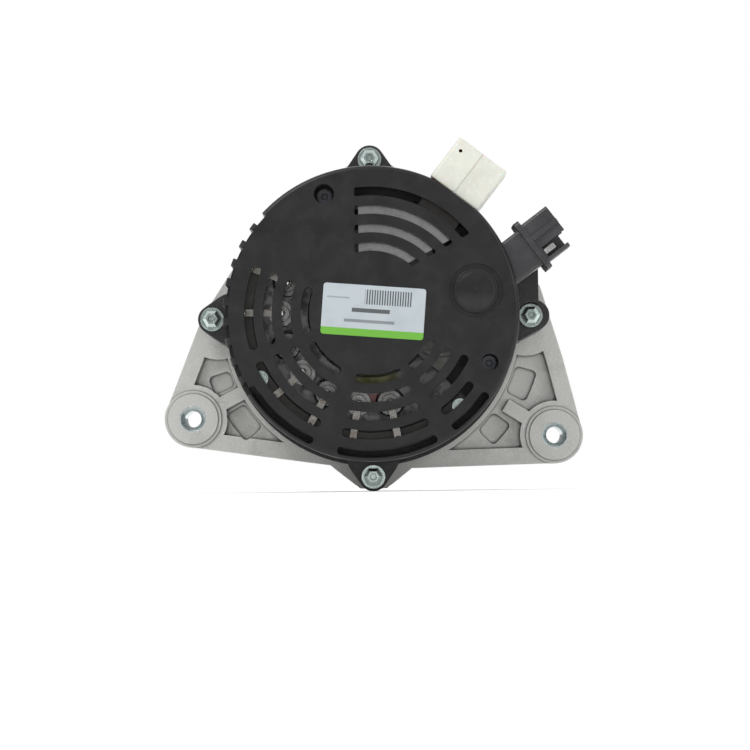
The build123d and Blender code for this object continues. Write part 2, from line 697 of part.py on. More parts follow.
for end, bearing in (("front", FRONT_BEARING), ("rear", REAR_BEARING)):
    front = bearing["front"]
    rear = bearing["rear"]
    pitch = bearing["pitch"]
    outer_land = pitch + LAND * bearing["ball"]
    inner_land = pitch - LAND * bearing["ball"]

    with BuildPart() as outer_ring:
        ring(front, rear, bearing["outer"], outer_land)
        race_groove(bearing)
    outer_ring.part.label = f"{end}_bearing_outer_ring"

    with BuildPart() as inner_ring:
        ring(front, rear, inner_land, bearing["bore"])
        race_groove(bearing)
    inner_ring.part.label = f"{end}_bearing_inner_ring"

    with BuildPart() as balls:
        with Locations(*ball_centres(bearing)):
            Sphere(bearing["ball"])
    balls.part.label = f"{end}_bearing_balls"

    with BuildPart() as cage:
        middle = (front + rear) / 2
        half_length = CAGE_LENGTH * bearing["ball"]
        ring(middle + half_length, middle - half_length, pitch + CAGE_HALF, pitch - CAGE_HALF)
        for ball in range(bearing["balls"]):
            direction = 360 / bearing["balls"] * ball
            with BuildSketch(facing_out(direction, pitch - 2 * CAGE_HALF, 0, middle)):
                Circle(bearing["ball"] + POCKET_GAP)
            extrude(amount=4 * CAGE_HALF, mode=Mode.SUBTRACT)
    cage.part.label = f"{end}_bearing_cage"

    with BuildPart() as seals:
        ring(front - SEAL_SINK, front - SEAL_SINK - SEAL, outer_land, inner_land + SEAL_GAP)
        ring(rear + SEAL_SINK + SEAL, rear + SEAL_SINK, outer_land, inner_land + SEAL_GAP)
    seals.part.label = f"{end}_bearing_seals"

    for piece in (outer_ring, inner_ring, balls, cage, seals):
        export_step(piece.part, f"parts/{piece.part.label}.step")

with BuildPart() as rear_bearing_sleeve:
    ring(REAR_HUB_FRONT, REAR_BEARING["rear"], SLEEVE_R, REAR_BEARING["outer"])
rear_bearing_sleeve.part.label = "rear_bearing_sleeve"

# ---------------------------------------------------------------- rotor

SHAFT_TIP = 21.0
THREAD_R = 7.0
PULLEY_SEAT = 8.0
SHAFT_CORE_R = 9.0
SHAFT_END = -129.5
SLIP_CORE_R = 5.0
SHAFT_STEP = 1.5
SHAFT_SOCKET = (4.0, 8.0)
CLAW_WEB_R = 22.0
POLE_DISC = 12.0
POLE_WAIST_R = 38.0
POLE_HUB_R = 18.0
ROTOR_MIDDLE = (ROTOR_FRONT + ROTOR_REAR) / 2
CLAW_ROOT_HALF = 16.5
CLAW_TIP_HALF = 7.5
CLAW_ROOT_R = 41.0
CLAW_TIP_R = 48.5
CLAW_TIP_GAP = 4.0

with BuildPart() as rotor_shaft:
    ring(SHAFT_TIP, PULLEY_SEAT, THREAD_R, 0)
    ring(PULLEY_SEAT, ROTOR_FRONT, FRONT_BEARING["bore"], 0)
    ring(ROTOR_FRONT, ROTOR_REAR, SHAFT_CORE_R, 0)
    ring(ROTOR_REAR, REAR_BEARING["rear"] - SHAFT_STEP, REAR_BEARING["bore"], 0)
    ring(REAR_BEARING["rear"] - SHAFT_STEP, SHAFT_END, SLIP_CORE_R, 0)
    # hexagon socket in the pulley end
    with BuildSketch(facing_rear(SHAFT_TIP)):
        RegularPolygon(SHAFT_SOCKET[0], 6)
    extrude(amount=SHAFT_SOCKET[1], mode=Mode.SUBTRACT)
rotor_shaft.part.label = "rotor_shaft"


def claw_pole(face, direction, first_angle):
    """Half of the rotor's iron: hub, waisted disc and tapered claws that run along the rotor."""
    inner_face = face - direction * POLE_DISC
    tip = face - direction * (ROTOR_FRONT - ROTOR_REAR - CLAW_TIP_GAP)
    ring(max(face, ROTOR_MIDDLE), min(face, ROTOR_MIDDLE), POLE_HUB_R, SHAFT_CORE_R)
    ring(max(face, inner_face), min(face, inner_face), POLE_WAIST_R, SHAFT_CORE_R)
    for claw in range(CLAWS):
        angle = first_angle + 360 / CLAWS * claw
        sector_block(
            max(face, inner_face),
            min(face, inner_face),
            ROTOR_R,
            CLAW_WEB_R,
            angle - CLAW_ROOT_HALF,
            angle + CLAW_ROOT_HALF,
        )
        with BuildSketch(facing_rear(inner_face)) as claw_root:
            sector(ROTOR_R, CLAW_ROOT_R, angle - CLAW_ROOT_HALF, angle + CLAW_ROOT_HALF)
        with BuildSketch(facing_rear(tip)) as claw_tip:
            sector(ROTOR_R, CLAW_TIP_R, angle - CLAW_TIP_HALF, angle + CLAW_TIP_HALF)
        loft([claw_root.sketch, claw_tip.sketch])


with BuildPart() as claw_pole_front:
    claw_pole(ROTOR_FRONT, 1, 0)
claw_pole_front.part.label = "claw_pole_front"

with BuildPart() as claw_pole_rear:
    claw_pole(ROTOR_REAR, -1, 180 / CLAWS)
claw_pole_rear.part.label = "claw_pole_rear"

BOBBIN_WALL = 1.4
BOBBIN_R = 39.0
FIELD_FRONT = ROTOR_FRONT - POLE_DISC
FIELD_REAR = ROTOR_REAR + POLE_DISC

with BuildPart() as field_bobbin:
    ring(FIELD_FRONT, FIELD_REAR, POLE_HUB_R + BOBBIN_WALL, POLE_HUB_R)
    ring(FIELD_FRONT, FIELD_FRONT - BOBBIN_WALL, BOBBIN_R, POLE_HUB_R)
    ring(FIELD_REAR + BOBBIN_WALL, FIELD_REAR, BOBBIN_R, POLE_HUB_R)
field_bobbin.part.label = "field_bobbin"

with BuildPart() as field_coil:
    ring(FIELD_FRONT - BOBBIN_WALL, FIELD_REAR + BOBBIN_WALL, POLE_WAIST_R, POLE_HUB_R + BOBBIN_WALL)
field_coil.part.label = "field_coil"

FAN_PLATE = 1.4
FAN_PLATE_R = 48.0
FAN_HUB_R = 14.0
FRONT_FAN = (11.0, 10)
REAR_FAN = (9.0, 11)
BLADE = 1.6
BLADE_SWEEP = 18.0
BLADE_RADII = (32.0, 42.0, 50.5)
BLADE_BOW = 0.35


def fan(front, rear, plate_front, plate_rear, blades):
    """Pressed fan: a plate and curved blades between two depths."""
    ring(plate_front, plate_rear, FAN_PLATE_R, FAN_HUB_R)
    with BuildSketch(facing_rear(front)) as blade_profiles:
        for blade in range(blades):
            angle = 360 / blades * blade
            curve = Edge.make_three_point_arc(
                Vector(*polar(BLADE_RADII[0], angle)),
                Vector(*polar(BLADE_RADII[1], angle + BLADE_SWEEP * BLADE_BOW)),
                Vector(*polar(BLADE_RADII[2], angle + BLADE_SWEEP)),
            )
            SlotArc(curve, BLADE)
    extrude(blade_profiles.sketch, amount=front - rear)


with BuildPart() as front_fan:
    fan(ROTOR_FRONT + FRONT_FAN[0], ROTOR_FRONT, ROTOR_FRONT + FAN_PLATE, ROTOR_FRONT, FRONT_FAN[1])
front_fan.part.label = "front_fan"

with BuildPart() as rear_fan:
    fan(ROTOR_REAR, ROTOR_REAR - REAR_FAN[0], ROTOR_REAR, ROTOR_REAR - FAN_PLATE, REAR_FAN[1])
rear_fan.part.label = "rear_fan"

with BuildPart() as slip_ring_insulator:
    ring(REAR_BEARING["rear"] - SHAFT_STEP, SHAFT_END, SLIP_RING_R - 1, SLIP_CORE_R)
slip_ring_insulator.part.label = "slip_ring_insulator"

with BuildPart() as slip_rings:
    for depth in SLIP_RING_DEPTHS:
        ring(depth + SLIP_RING_HALF, depth - SLIP_RING_HALF, SLIP_RING_R, SLIP_RING_R - 1)
slip_rings.part.label = "slip_rings"

with BuildPart() as rotor_spacer:
    ring(FRONT_BEARING["rear"], ROTOR_FRONT, SPACER_R, FRONT_BEARING["bore"])
rotor_spacer.part.label = "rotor_spacer"

PULLEY_HALF = 13.0
GROOVE_DEPTH = 2.6
GROOVE_HALF = 1.4
GROOVE_FLOOR = 0.35
FLANGE_R = 29.5
FLANGE = 1.5
CUP_R = 22.5
CUP_FLOOR = -6.0
PULLEY_HUB_R = 14.0
PULLEY_NUT = 10.0
PULLEY_NUT_FLATS = 22.0
PULLEY_WASHER = (13.5, 1.5)

rib_outline = []
for rib in range(PULLEY_RIBS):
    groove_y = (rib - (PULLEY_RIBS - 1) / 2) * RIB_PITCH
    rib_outline += [
        (PULLEY_R, groove_y - GROOVE_HALF),
        (PULLEY_R - GROOVE_DEPTH, groove_y - GROOVE_FLOOR),
        (PULLEY_R - GROOVE_DEPTH, groove_y + GROOVE_FLOOR),
        (PULLEY_R, groove_y + GROOVE_HALF),
    ]

with BuildPart() as pulley:
    with BuildSketch(Plane.XY):
        with BuildLine():
            Polyline(
                (FRONT_BEARING["bore"], -PULLEY_HALF),
                (FLANGE_R, -PULLEY_HALF),
                (FLANGE_R, FLANGE - PULLEY_HALF),
                (PULLEY_R, FLANGE - PULLEY_HALF),
                *rib_outline,
                (PULLEY_R, PULLEY_HALF - FLANGE),
                (FLANGE_R, PULLEY_HALF - FLANGE),
                (FLANGE_R, PULLEY_HALF),
                (CUP_R, PULLEY_HALF),
                (CUP_R, CUP_FLOOR),
                (PULLEY_HUB_R, CUP_FLOOR),
                (PULLEY_HUB_R, PULLEY_SEAT),
                (FRONT_BEARING["bore"], PULLEY_SEAT),
                close=True,
            )
        make_face()
    revolve(axis=Axis.Y)
pulley.part.label = "pulley"

with BuildPart() as pulley_nut:
    with BuildSketch(facing_rear(PULLEY_SEAT + PULLEY_NUT)):
        RegularPolygon(PULLEY_NUT_FLATS / 2, 6, major_radius=False)
        Circle(THREAD_R, mode=Mode.SUBTRACT)
    extrude(amount=PULLEY_NUT)
    ring(PULLEY_SEAT + PULLEY_WASHER[1], PULLEY_SEAT, PULLEY_WASHER[0], THREAD_R)
pulley_nut.part.label = "pulley_nut"

with BuildPart() as pulley_spacer:
    ring(-PULLEY_HALF, FRONT_BEARING["front"], SPACER_R, FRONT_BEARING["bore"])
pulley_spacer.part.label = "pulley_spacer"

# ---------------------------------------------------------------- brushes and their holder

BRUSH = (6.5, 4.5, 14.0)
BRUSH_GAP = 0.3
BRUSH_TOP = SLIP_RING_R + BRUSH[2]
CHANNEL_TOP = 38.0
HOLDER_HALF = 7.5
HOLDER_FRONT = -116.3
HOLDER_REAR = -129.4
HOLDER_BOTTOM = 10.5
HOLDER_TOP = 41.0
BRUSH_CONTACT = 0.05
SPRING_RADII = (1.9, 1.2)

with BuildPart() as brush_holder:
    with BuildSketch(facing_rear(HOLDER_FRONT)):
        with Locations((0, (HOLDER_BOTTOM + HOLDER_TOP) / 2)):
            Rectangle(2 * HOLDER_HALF, HOLDER_TOP - HOLDER_BOTTOM)
    extrude(amount=HOLDER_FRONT - HOLDER_REAR)
    for depth in SLIP_RING_DEPTHS:
        with BuildSketch(Plane.XY.offset(HOLDER_BOTTOM)):
            with Locations((0, depth)):
                Rectangle(BRUSH[0] + 2 * BRUSH_GAP, BRUSH[1] + 2 * BRUSH_GAP)
        extrude(amount=CHANNEL_TOP - HOLDER_BOTTOM, mode=Mode.SUBTRACT)
brush_holder.part.label = "brush_holder"

for place, depth in (("outer", SLIP_RING_DEPTHS[0]), ("inner", SLIP_RING_DEPTHS[1])):
    with BuildPart() as brush:
        with BuildSketch(Plane.XY.offset(BRUSH_TOP - BRUSH[2] - 1)):
            with Locations((0, depth)):
                Rectangle(BRUSH[0], BRUSH[1])
        extrude(amount=BRUSH[2] + 1)
        ring(depth + BRUSH[1], depth - BRUSH[1], SLIP_RING_R + BRUSH_CONTACT, 0, mode=Mode.SUBTRACT)
    brush.part.label = f"brush_{place}"
    export_step(brush.part, f"parts/{brush.part.label}.step")

    with BuildPart() as spring:
        with BuildSketch(Plane.XY.offset(BRUSH_TOP)):
            with Locations((0, depth)):
                Circle(SPRING_RADII[0])
                Circle(SPRING_RADII[1], mode=Mode.SUBTRACT)
        extrude(amount=CHANNEL_TOP - BRUSH_TOP)
    spring.part.label = f"brush_spring_{place}"
    export_step(spring.part, f"parts/{spring.part.label}.step")

# ---------------------------------------------------------------- regulator

REGULATOR_SCREWS = (polar(45.9, 66.5), polar(45.9, 84.5))
REGULATOR_FRONT = -116.5
REGULATOR_REAR = -129.5
REGULATOR_RADII = (42.5, 24.0)
REGULATOR_ANGLES = (26.0, 70.0)
HEATSINK_REAR = -131.1
HEATSINK_RADII = (56.0, 28.0)
HEATSINK_EDGES = ((-5.8, 0.0), (-5.8, 60.0), (60.0, 60.0), (60.0, 46.8), (12.0, 20.7))
REGULATOR_POST_R = 3.1
REGULATOR_SHANK_R = 1.5
REGULATOR_HEAD_R = 2.2
REGULATOR_HEAD_BORE_R = 2.4

with BuildPart() as regulator_body:
    sector_block(REGULATOR_FRONT, REGULATOR_REAR, *REGULATOR_RADII, *REGULATOR_ANGLES)
regulator_body.part.label = "regulator_body"

# flat plate on the regulator's back, cut straight on the left and on a slant below
with BuildPart() as regulator_heatsink:
    with BuildSketch(facing_rear(REGULATOR_REAR)):
        Circle(HEATSINK_RADII[0])
        Circle(HEATSINK_RADII[1], mode=Mode.SUBTRACT)
        with BuildSketch(Plane.XY, mode=Mode.PRIVATE) as heatsink_region:
            with BuildLine():
                Polyline(*HEATSINK_EDGES, close=True)
            make_face()
        add(heatsink_region.sketch, mode=Mode.INTERSECT)
    extrude(amount=REGULATOR_REAR - HEATSINK_REAR)
    for place in REGULATOR_SCREWS:
        disc(REGULATOR_REAR, HEATSINK_REAR, place, REGULATOR_HEAD_BORE_R, mode=Mode.SUBTRACT)
regulator_heatsink.part.label = "regulator_heatsink"

with BuildPart() as regulator_screws:
    for place in REGULATOR_SCREWS:
        disc(COVER_SEAT, REGULATOR_REAR, place, REGULATOR_SHANK_R)
        disc(REGULATOR_REAR, HEATSINK_REAR, place, REGULATOR_HEAD_R)
regulator_screws.part.label = "regulator_screws"

with BuildPart() as regulator_posts:
    for place in REGULATOR_SCREWS:
        disc(COVER_SEAT, REGULATOR_REAR, place, REGULATOR_POST_R)
        disc(COVER_SEAT, REGULATOR_REAR, place, REGULATOR_SHANK_R, mode=Mode.SUBTRACT)
regulator_posts.part.label = "regulator_posts"

# ---------------------------------------------------------------- rectifier

RECTIFIER_START = 122.0
RECTIFIER_END = 318.0
DIODE_R = 6.2
DIODE_CIRCLE_R = 44.0
DIODE_FIRST = 138.0
DIODE_STEP = 20.5
DIODES = 8
NEGATIVE_REAR = -114.5
POSITIVE_FRONT = -122.0
POSITIVE_REAR = -124.8
FRAME_INNER_R = 58.0
FRAME_OUTER_R = 67.0
FRAME_REAR = -126.0
FRAME_SCREW_R = 62.5
FRAME_SCREWS = (127.0, 209.75, 313.0)
STRIP_REAR = -129.0
STRIP_THICK = 0.8
STRIP_WIDTH = 3.4
STRIP_OVERHANG = 4.0
STRIP_POST_R = 1.6
PLATE_OUTER_R = 57.0
NEGATIVE_INNER_R = 27.0
POSITIVE_INNER_R = 31.0
DIODE_PLAY = 1.0
CURRENT_ARM = (55.2, 52.2, 61.4)
DIODE_CAP = (2.2, 1.2)
DIODE_LEAD_R = 0.8
POSITIVE_CAN = (3.0, 0.8)
NEGATIVE_CAN = 4.5
FRAME_FRONT = -118.0
FRAME_LEDGE = -120.0
FRAME_LEDGE_R = 53.0
FRAME_POST_R = 4.2
FRAME_SHANK_R = 2.0
FRAME_HEAD = (3.8, 2.4)


def diode_angle(number):
    """Direction of one diode; even ones are positive, odd ones negative."""
    return DIODE_FIRST + DIODE_STEP * number


with BuildPart() as rectifier_negative_plate:
    sector_block(
        COVER_SEAT,
        NEGATIVE_REAR,
        PLATE_OUTER_R,
        NEGATIVE_INNER_R,
        RECTIFIER_START,
        RECTIFIER_END,
    )
    for number in range(1, DIODES, 2):
        place = polar(DIODE_CIRCLE_R, diode_angle(number))
        disc(COVER_SEAT, NEGATIVE_REAR, place, DIODE_R, mode=Mode.SUBTRACT)
rectifier_negative_plate.part.label = "rectifier_negative_plate"

with BuildPart() as rectifier_positive_plate:
    sector_block(
        POSITIVE_FRONT,
        POSITIVE_REAR,
        PLATE_OUTER_R,
        POSITIVE_INNER_R,
        RECTIFIER_START,
        RECTIFIER_END,
    )
    # arm that carries the current round to the battery terminal
    sector_block(POSITIVE_FRONT, POSITIVE_REAR, *CURRENT_ARM, RECTIFIER_START)
    for number in range(DIODES):
        place = polar(DIODE_CIRCLE_R, diode_angle(number))
        hole_r = DIODE_R if number % 2 == 0 else DIODE_R + DIODE_PLAY
        disc(POSITIVE_FRONT, POSITIVE_REAR, place, hole_r, mode=Mode.SUBTRACT)
rectifier_positive_plate.part.label = "rectifier_positive_plate"


def diode(can_front, can_rear, angle):
    """Press-fit diode: a can and a lead that rises to the connecting strip."""
    place = polar(DIODE_CIRCLE_R, angle)
    disc(can_front, can_rear, place, DIODE_R)
    disc(can_rear, can_rear - DIODE_CAP[1], place, DIODE_R - DIODE_CAP[0])
    disc(can_rear, STRIP_REAR + STRIP_THICK, place, DIODE_LEAD_R)


with BuildPart() as positive_diodes:
    for number in range(0, DIODES, 2):
        diode(POSITIVE_FRONT + POSITIVE_CAN[0], POSITIVE_REAR - POSITIVE_CAN[1], diode_angle(number))
positive_diodes.part.label = "positive_diodes"

with BuildPart() as negative_diodes:
    for number in range(1, DIODES, 2):
        diode(COVER_SEAT, NEGATIVE_REAR - NEGATIVE_CAN, diode_angle(number))
negative_diodes.part.label = "negative_diodes"

with BuildPart() as rectifier_terminal_frame:
    sector_block(
        FRAME_FRONT,
        FRAME_REAR,
        FRAME_OUTER_R,
        FRAME_INNER_R,
        RECTIFIER_START,
        RECTIFIER_END,
    )
    sector_block(
        FRAME_LEDGE,
        POSITIVE_FRONT,
        FRAME_INNER_R,
        FRAME_LEDGE_R,
        RECTIFIER_START,
        RECTIFIER_END,
    )
    for angle in FRAME_SCREWS:
        disc(COVER_SEAT, FRAME_FRONT, polar(FRAME_SCREW_R, angle), FRAME_POST_R)
    for angle in FRAME_SCREWS:
        place = polar(FRAME_SCREW_R, angle)
        disc(COVER_SEAT, FRAME_REAR, place, FRAME_SHANK_R, mode=Mode.SUBTRACT)
rectifier_terminal_frame.part.label = "rectifier_terminal_frame"

with BuildPart() as rectifier_bus_bars:
    for number in range(DIODES):
        angle = diode_angle(number)
        with BuildSketch(facing_rear(STRIP_REAR + STRIP_THICK)):
            with Locations(Location(polar((DIODE_CIRCLE_R + FRAME_SCREW_R) / 2, angle), angle)):
                SlotOverall(FRAME_SCREW_R - DIODE_CIRCLE_R + STRIP_OVERHANG, STRIP_WIDTH)
        extrude(amount=STRIP_THICK)
        disc(FRAME_REAR, STRIP_REAR + STRIP_THICK, polar(FRAME_SCREW_R, angle), STRIP_POST_R)
rectifier_bus_bars.part.label = "rectifier_bus_bars"

with BuildPart() as rectifier_screws:
    for angle in FRAME_SCREWS:
        place = polar(FRAME_SCREW_R, angle)
        disc(COVER_SEAT, FRAME_REAR, place, FRAME_SHANK_R)
        disc(FRAME_REAR, FRAME_REAR - FRAME_HEAD[1], place, FRAME_HEAD[0])
rectifier_screws.part.label = "rectifier_screws"

# ---------------------------------------------------------------- battery terminal

STUD_R = 3.0
STUD_TIP = 88.0
STUD_BLOCK = (47.5, 56.0)
INSULATOR = (22.0, 11.5)
INSULATOR_END = 70.9
NUT_FLATS = 10.0
NUT_HEIGHT = 5.0
CAP_SIZE = (29.0, 18.0)
CAP_WALL = 1.5
CAP_CORNER = 2.0
CAP_EDGE = 1.0
CAP_SEAM = 0.6
CAP_VENT_R = 0.9
CAP_VENT = (90.9, 60.5)
BLOCK_SIZE = 10.0
STUD_CHAMFER = 0.6
WASHER_R = 6.5
WASHER = 1.2


def on_terminal(out):
    """Plane square to the battery terminal's axis."""
    return facing_out(TERMINAL_ANGLE, out, TERMINAL_SIDE, TERMINAL_DEPTH)


with BuildPart() as terminal_stud:
    with BuildSketch(on_terminal(STUD_BLOCK[0])):
        Rectangle(BLOCK_SIZE, BLOCK_SIZE)
    extrude(amount=STUD_BLOCK[1] - STUD_BLOCK[0])
    with BuildSketch(on_terminal(STUD_BLOCK[1])):
        Circle(STUD_R)
    extrude(amount=STUD_TIP - STUD_BLOCK[1])
    chamfer(terminal_stud.faces().sort_by(SortBy.DISTANCE)[-1].edges(), length=STUD_CHAMFER)
terminal_stud.part.label = "terminal_stud"

with BuildPart() as terminal_insulator:
    with BuildSketch(on_terminal(STUD_BLOCK[1])):
        Rectangle(*INSULATOR)
        Circle(STUD_R, mode=Mode.SUBTRACT)
    extrude(amount=INSULATOR_END - STUD_BLOCK[1])
terminal_insulator.part.label = "terminal_insulator"

with BuildPart() as terminal_nut:
    with BuildSketch(on_terminal(INSULATOR_END)):
        Circle(WASHER_R)
        Circle(STUD_R, mode=Mode.SUBTRACT)
    extrude(amount=WASHER)
    with BuildSketch(on_terminal(INSULATOR_END + WASHER)):
        RegularPolygon(NUT_FLATS / 2, 6, major_radius=False)
        Circle(STUD_R, mode=Mode.SUBTRACT)
    extrude(amount=NUT_HEIGHT)
terminal_nut.part.label = "terminal_nut"

with BuildPart() as terminal_cap:
    with BuildSketch(on_terminal(CAP_START)):
        RectangleRounded(*CAP_SIZE, CAP_CORNER)
    extrude(amount=CAP_END - CAP_START)
    fillet(terminal_cap.faces().sort_by(SortBy.DISTANCE)[-1].edges(), radius=CAP_EDGE)
    with BuildSketch(on_terminal(CAP_START)):
        Rectangle(CAP_SIZE[0] - 2 * CAP_WALL, CAP_SIZE[1] - 2 * CAP_WALL)
    extrude(amount=CAP_END - CAP_START - CAP_WALL, mode=Mode.SUBTRACT)
    # parting line round the middle
    with BuildSketch(on_terminal(CAP_START)):
        for side in (-1, 1):
            with Locations((0, side * CAP_SIZE[1] / 2)):
                Rectangle(CAP_SEAM, CAP_SEAM)
    extrude(amount=CAP_END - CAP_START, mode=Mode.SUBTRACT)
    # small vent hole in the rear face
    with BuildSketch(facing_rear(TERMINAL_DEPTH)):
        with Locations(polar(*CAP_VENT)):
            Circle(CAP_VENT_R)
    extrude(amount=CAP_SIZE[1], mode=Mode.SUBTRACT)
terminal_cap.part.label = "terminal_cap"

# ---------------------------------------------------------------- plug socket

NECK = (20.6, 15.0)
NECK_START = 50.5
COLLAR = (27.9, 18.0)
COLLAR_THICK = 2.8
SHROUD = (22.8, 15.0)
SHROUD_LONG = 15.5
SHROUD_STEP = 2.4
SHROUD_STEP_WIDTH = 8.0
SHROUD_WINDOW = (6.0, 4.0, 1.0, 1.2)
KEY_SIDE = 2.5
KEY_SIZE = 2.4
NECK_CORNER = 2.0
COLLAR_CORNER = 2.5
SOCKET_CORNER = 1.2
SOCKET = (19.4, 11.4)
SOCKET_FLOOR = 86.0
PIN = (2.8, 0.8)
PIN_SPACING = 6.0
PIN_TIP = 92.5
PIN_ROOT = 58.0
SHROUD_START = COLLAR_OUT + COLLAR_THICK / 2
SHROUD_END = SHROUD_START + SHROUD_LONG


def on_connector(out):
    """Plane square to the plug socket's axis."""
    return facing_out(CONNECTOR_ANGLE, out, CONNECTOR_SIDE, CONNECTOR_DEPTH)


with BuildPart() as connector_pins:
    with BuildSketch(on_connector(PIN_ROOT)):
        with GridLocations(PIN_SPACING, PIN_SPACING, 3, 1):
            Rectangle(*PIN)
    extrude(amount=PIN_TIP - PIN_ROOT)
connector_pins.part.label = "connector_pins"

with BuildPart() as connector_housing:
    with BuildSketch(on_connector(NECK_START)):
        RectangleRounded(*NECK, NECK_CORNER)
    extrude(amount=COLLAR_OUT - NECK_START)
    with BuildSketch(on_connector(COLLAR_OUT - COLLAR_THICK / 2)):
        RectangleRounded(*COLLAR, COLLAR_CORNER)
    extrude(amount=COLLAR_THICK)
    with BuildSketch(on_connector(SHROUD_START)):
        RectangleRounded(*SHROUD, NECK_CORNER)
    extrude(amount=SHROUD_LONG)
    # keying ridge along the rear wall
    with BuildSketch(on_connector(SHROUD_START)):
        with Locations((KEY_SIDE, SHROUD[1] / 2)):
            Rectangle(KEY_SIZE, KEY_SIZE)
    extrude(amount=SHROUD_LONG)
    # one side set back, with its rear wall open
    with BuildSketch(on_connector(SHROUD_END - SHROUD_STEP)):
        with Locations((SHROUD_STEP_WIDTH / 2 - SHROUD[0] / 2, 0)):
            Rectangle(SHROUD_STEP_WIDTH, 2 * SHROUD[1])
    extrude(amount=SHROUD_STEP, mode=Mode.SUBTRACT)
    window_wide, window_deep, window_side, window_foot = SHROUD_WINDOW
    with BuildSketch(on_connector(SHROUD_START + window_foot)):
        with Locations((SHROUD_STEP_WIDTH / 2 - SHROUD[0] / 2 + window_side, SHROUD[1] / 2)):
            Rectangle(window_wide, window_deep)
    extrude(amount=SHROUD_LONG, mode=Mode.SUBTRACT)
    with BuildSketch(on_connector(SOCKET_FLOOR)):
        RectangleRounded(*SOCKET, SOCKET_CORNER)
    extrude(amount=SHROUD_END - SOCKET_FLOOR, mode=Mode.SUBTRACT)
    add(connector_pins.part, mode=Mode.SUBTRACT)
connector_housing.part.label = "connector_housing"

for piece in (
    rear_cover,
    cover_plug,
    cover_screws,
    rating_label,
    slip_ring_end_bracket,
    through_bolts,
    stator_core,
    slot_liners,
    stator_winding,
    drive_end_bracket,
    bearing_retainer,
    retainer_screws,
    rear_bearing_sleeve,
    rotor_shaft,
    claw_pole_front,
    claw_pole_rear,
    field_bobbin,
    field_coil,
    front_fan,
    rear_fan,
    slip_ring_insulator,
    slip_rings,
    rotor_spacer,
    pulley,
    pulley_nut,
    pulley_spacer,
    brush_holder,
    regulator_body,
    regulator_heatsink,
    regulator_screws,
    regulator_posts,
    rectifier_negative_plate,
    rectifier_positive_plate,
    positive_diodes,
    negative_diodes,
    rectifier_terminal_frame,
    rectifier_bus_bars,
    rectifier_screws,
    terminal_stud,
    terminal_insulator,
    terminal_nut,
    terminal_cap,
    connector_pins,
    connector_housing,
):
    export_step(piece.part, f"parts/{piece.part.label}.step")
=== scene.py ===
"""Looks for the car alternator: materials, wound copper, springs and studio around the CAD part."""

import json
import math

import bpy
import bmesh
from mathutils import Matrix, Vector


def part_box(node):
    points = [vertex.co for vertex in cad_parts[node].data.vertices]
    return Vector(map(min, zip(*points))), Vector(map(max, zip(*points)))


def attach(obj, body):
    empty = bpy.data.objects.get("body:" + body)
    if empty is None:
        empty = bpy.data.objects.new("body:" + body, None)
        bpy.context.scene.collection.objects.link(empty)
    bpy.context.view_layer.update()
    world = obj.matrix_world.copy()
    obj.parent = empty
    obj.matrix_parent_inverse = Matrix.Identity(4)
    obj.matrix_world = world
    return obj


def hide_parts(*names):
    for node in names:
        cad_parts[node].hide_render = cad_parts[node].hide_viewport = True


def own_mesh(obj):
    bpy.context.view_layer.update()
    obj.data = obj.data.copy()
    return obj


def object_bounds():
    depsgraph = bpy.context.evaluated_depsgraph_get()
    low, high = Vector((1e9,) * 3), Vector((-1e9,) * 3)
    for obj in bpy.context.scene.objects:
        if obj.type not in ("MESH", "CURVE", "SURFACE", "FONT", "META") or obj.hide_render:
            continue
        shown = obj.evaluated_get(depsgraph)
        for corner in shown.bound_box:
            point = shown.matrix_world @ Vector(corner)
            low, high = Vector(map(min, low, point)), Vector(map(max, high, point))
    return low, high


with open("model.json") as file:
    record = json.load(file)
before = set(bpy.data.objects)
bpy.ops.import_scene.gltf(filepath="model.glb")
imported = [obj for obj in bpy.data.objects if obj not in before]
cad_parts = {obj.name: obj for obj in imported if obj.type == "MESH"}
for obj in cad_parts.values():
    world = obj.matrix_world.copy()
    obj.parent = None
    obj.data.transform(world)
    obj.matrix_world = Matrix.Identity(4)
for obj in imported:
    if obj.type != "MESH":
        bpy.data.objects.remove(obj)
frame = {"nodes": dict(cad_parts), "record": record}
cad_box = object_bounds()
scene = bpy.context.scene

# ------------------------------------------------------------------ material kit
MM = 0.001
SOFT_EDGE = 0.35 * MM
BEVEL_SAMPLES = 4
EDGE_RANGE = (0.995, 0.86)
CREVICE_SAMPLES = 8
CREVICE_RANGE = (0.9, 0.45)


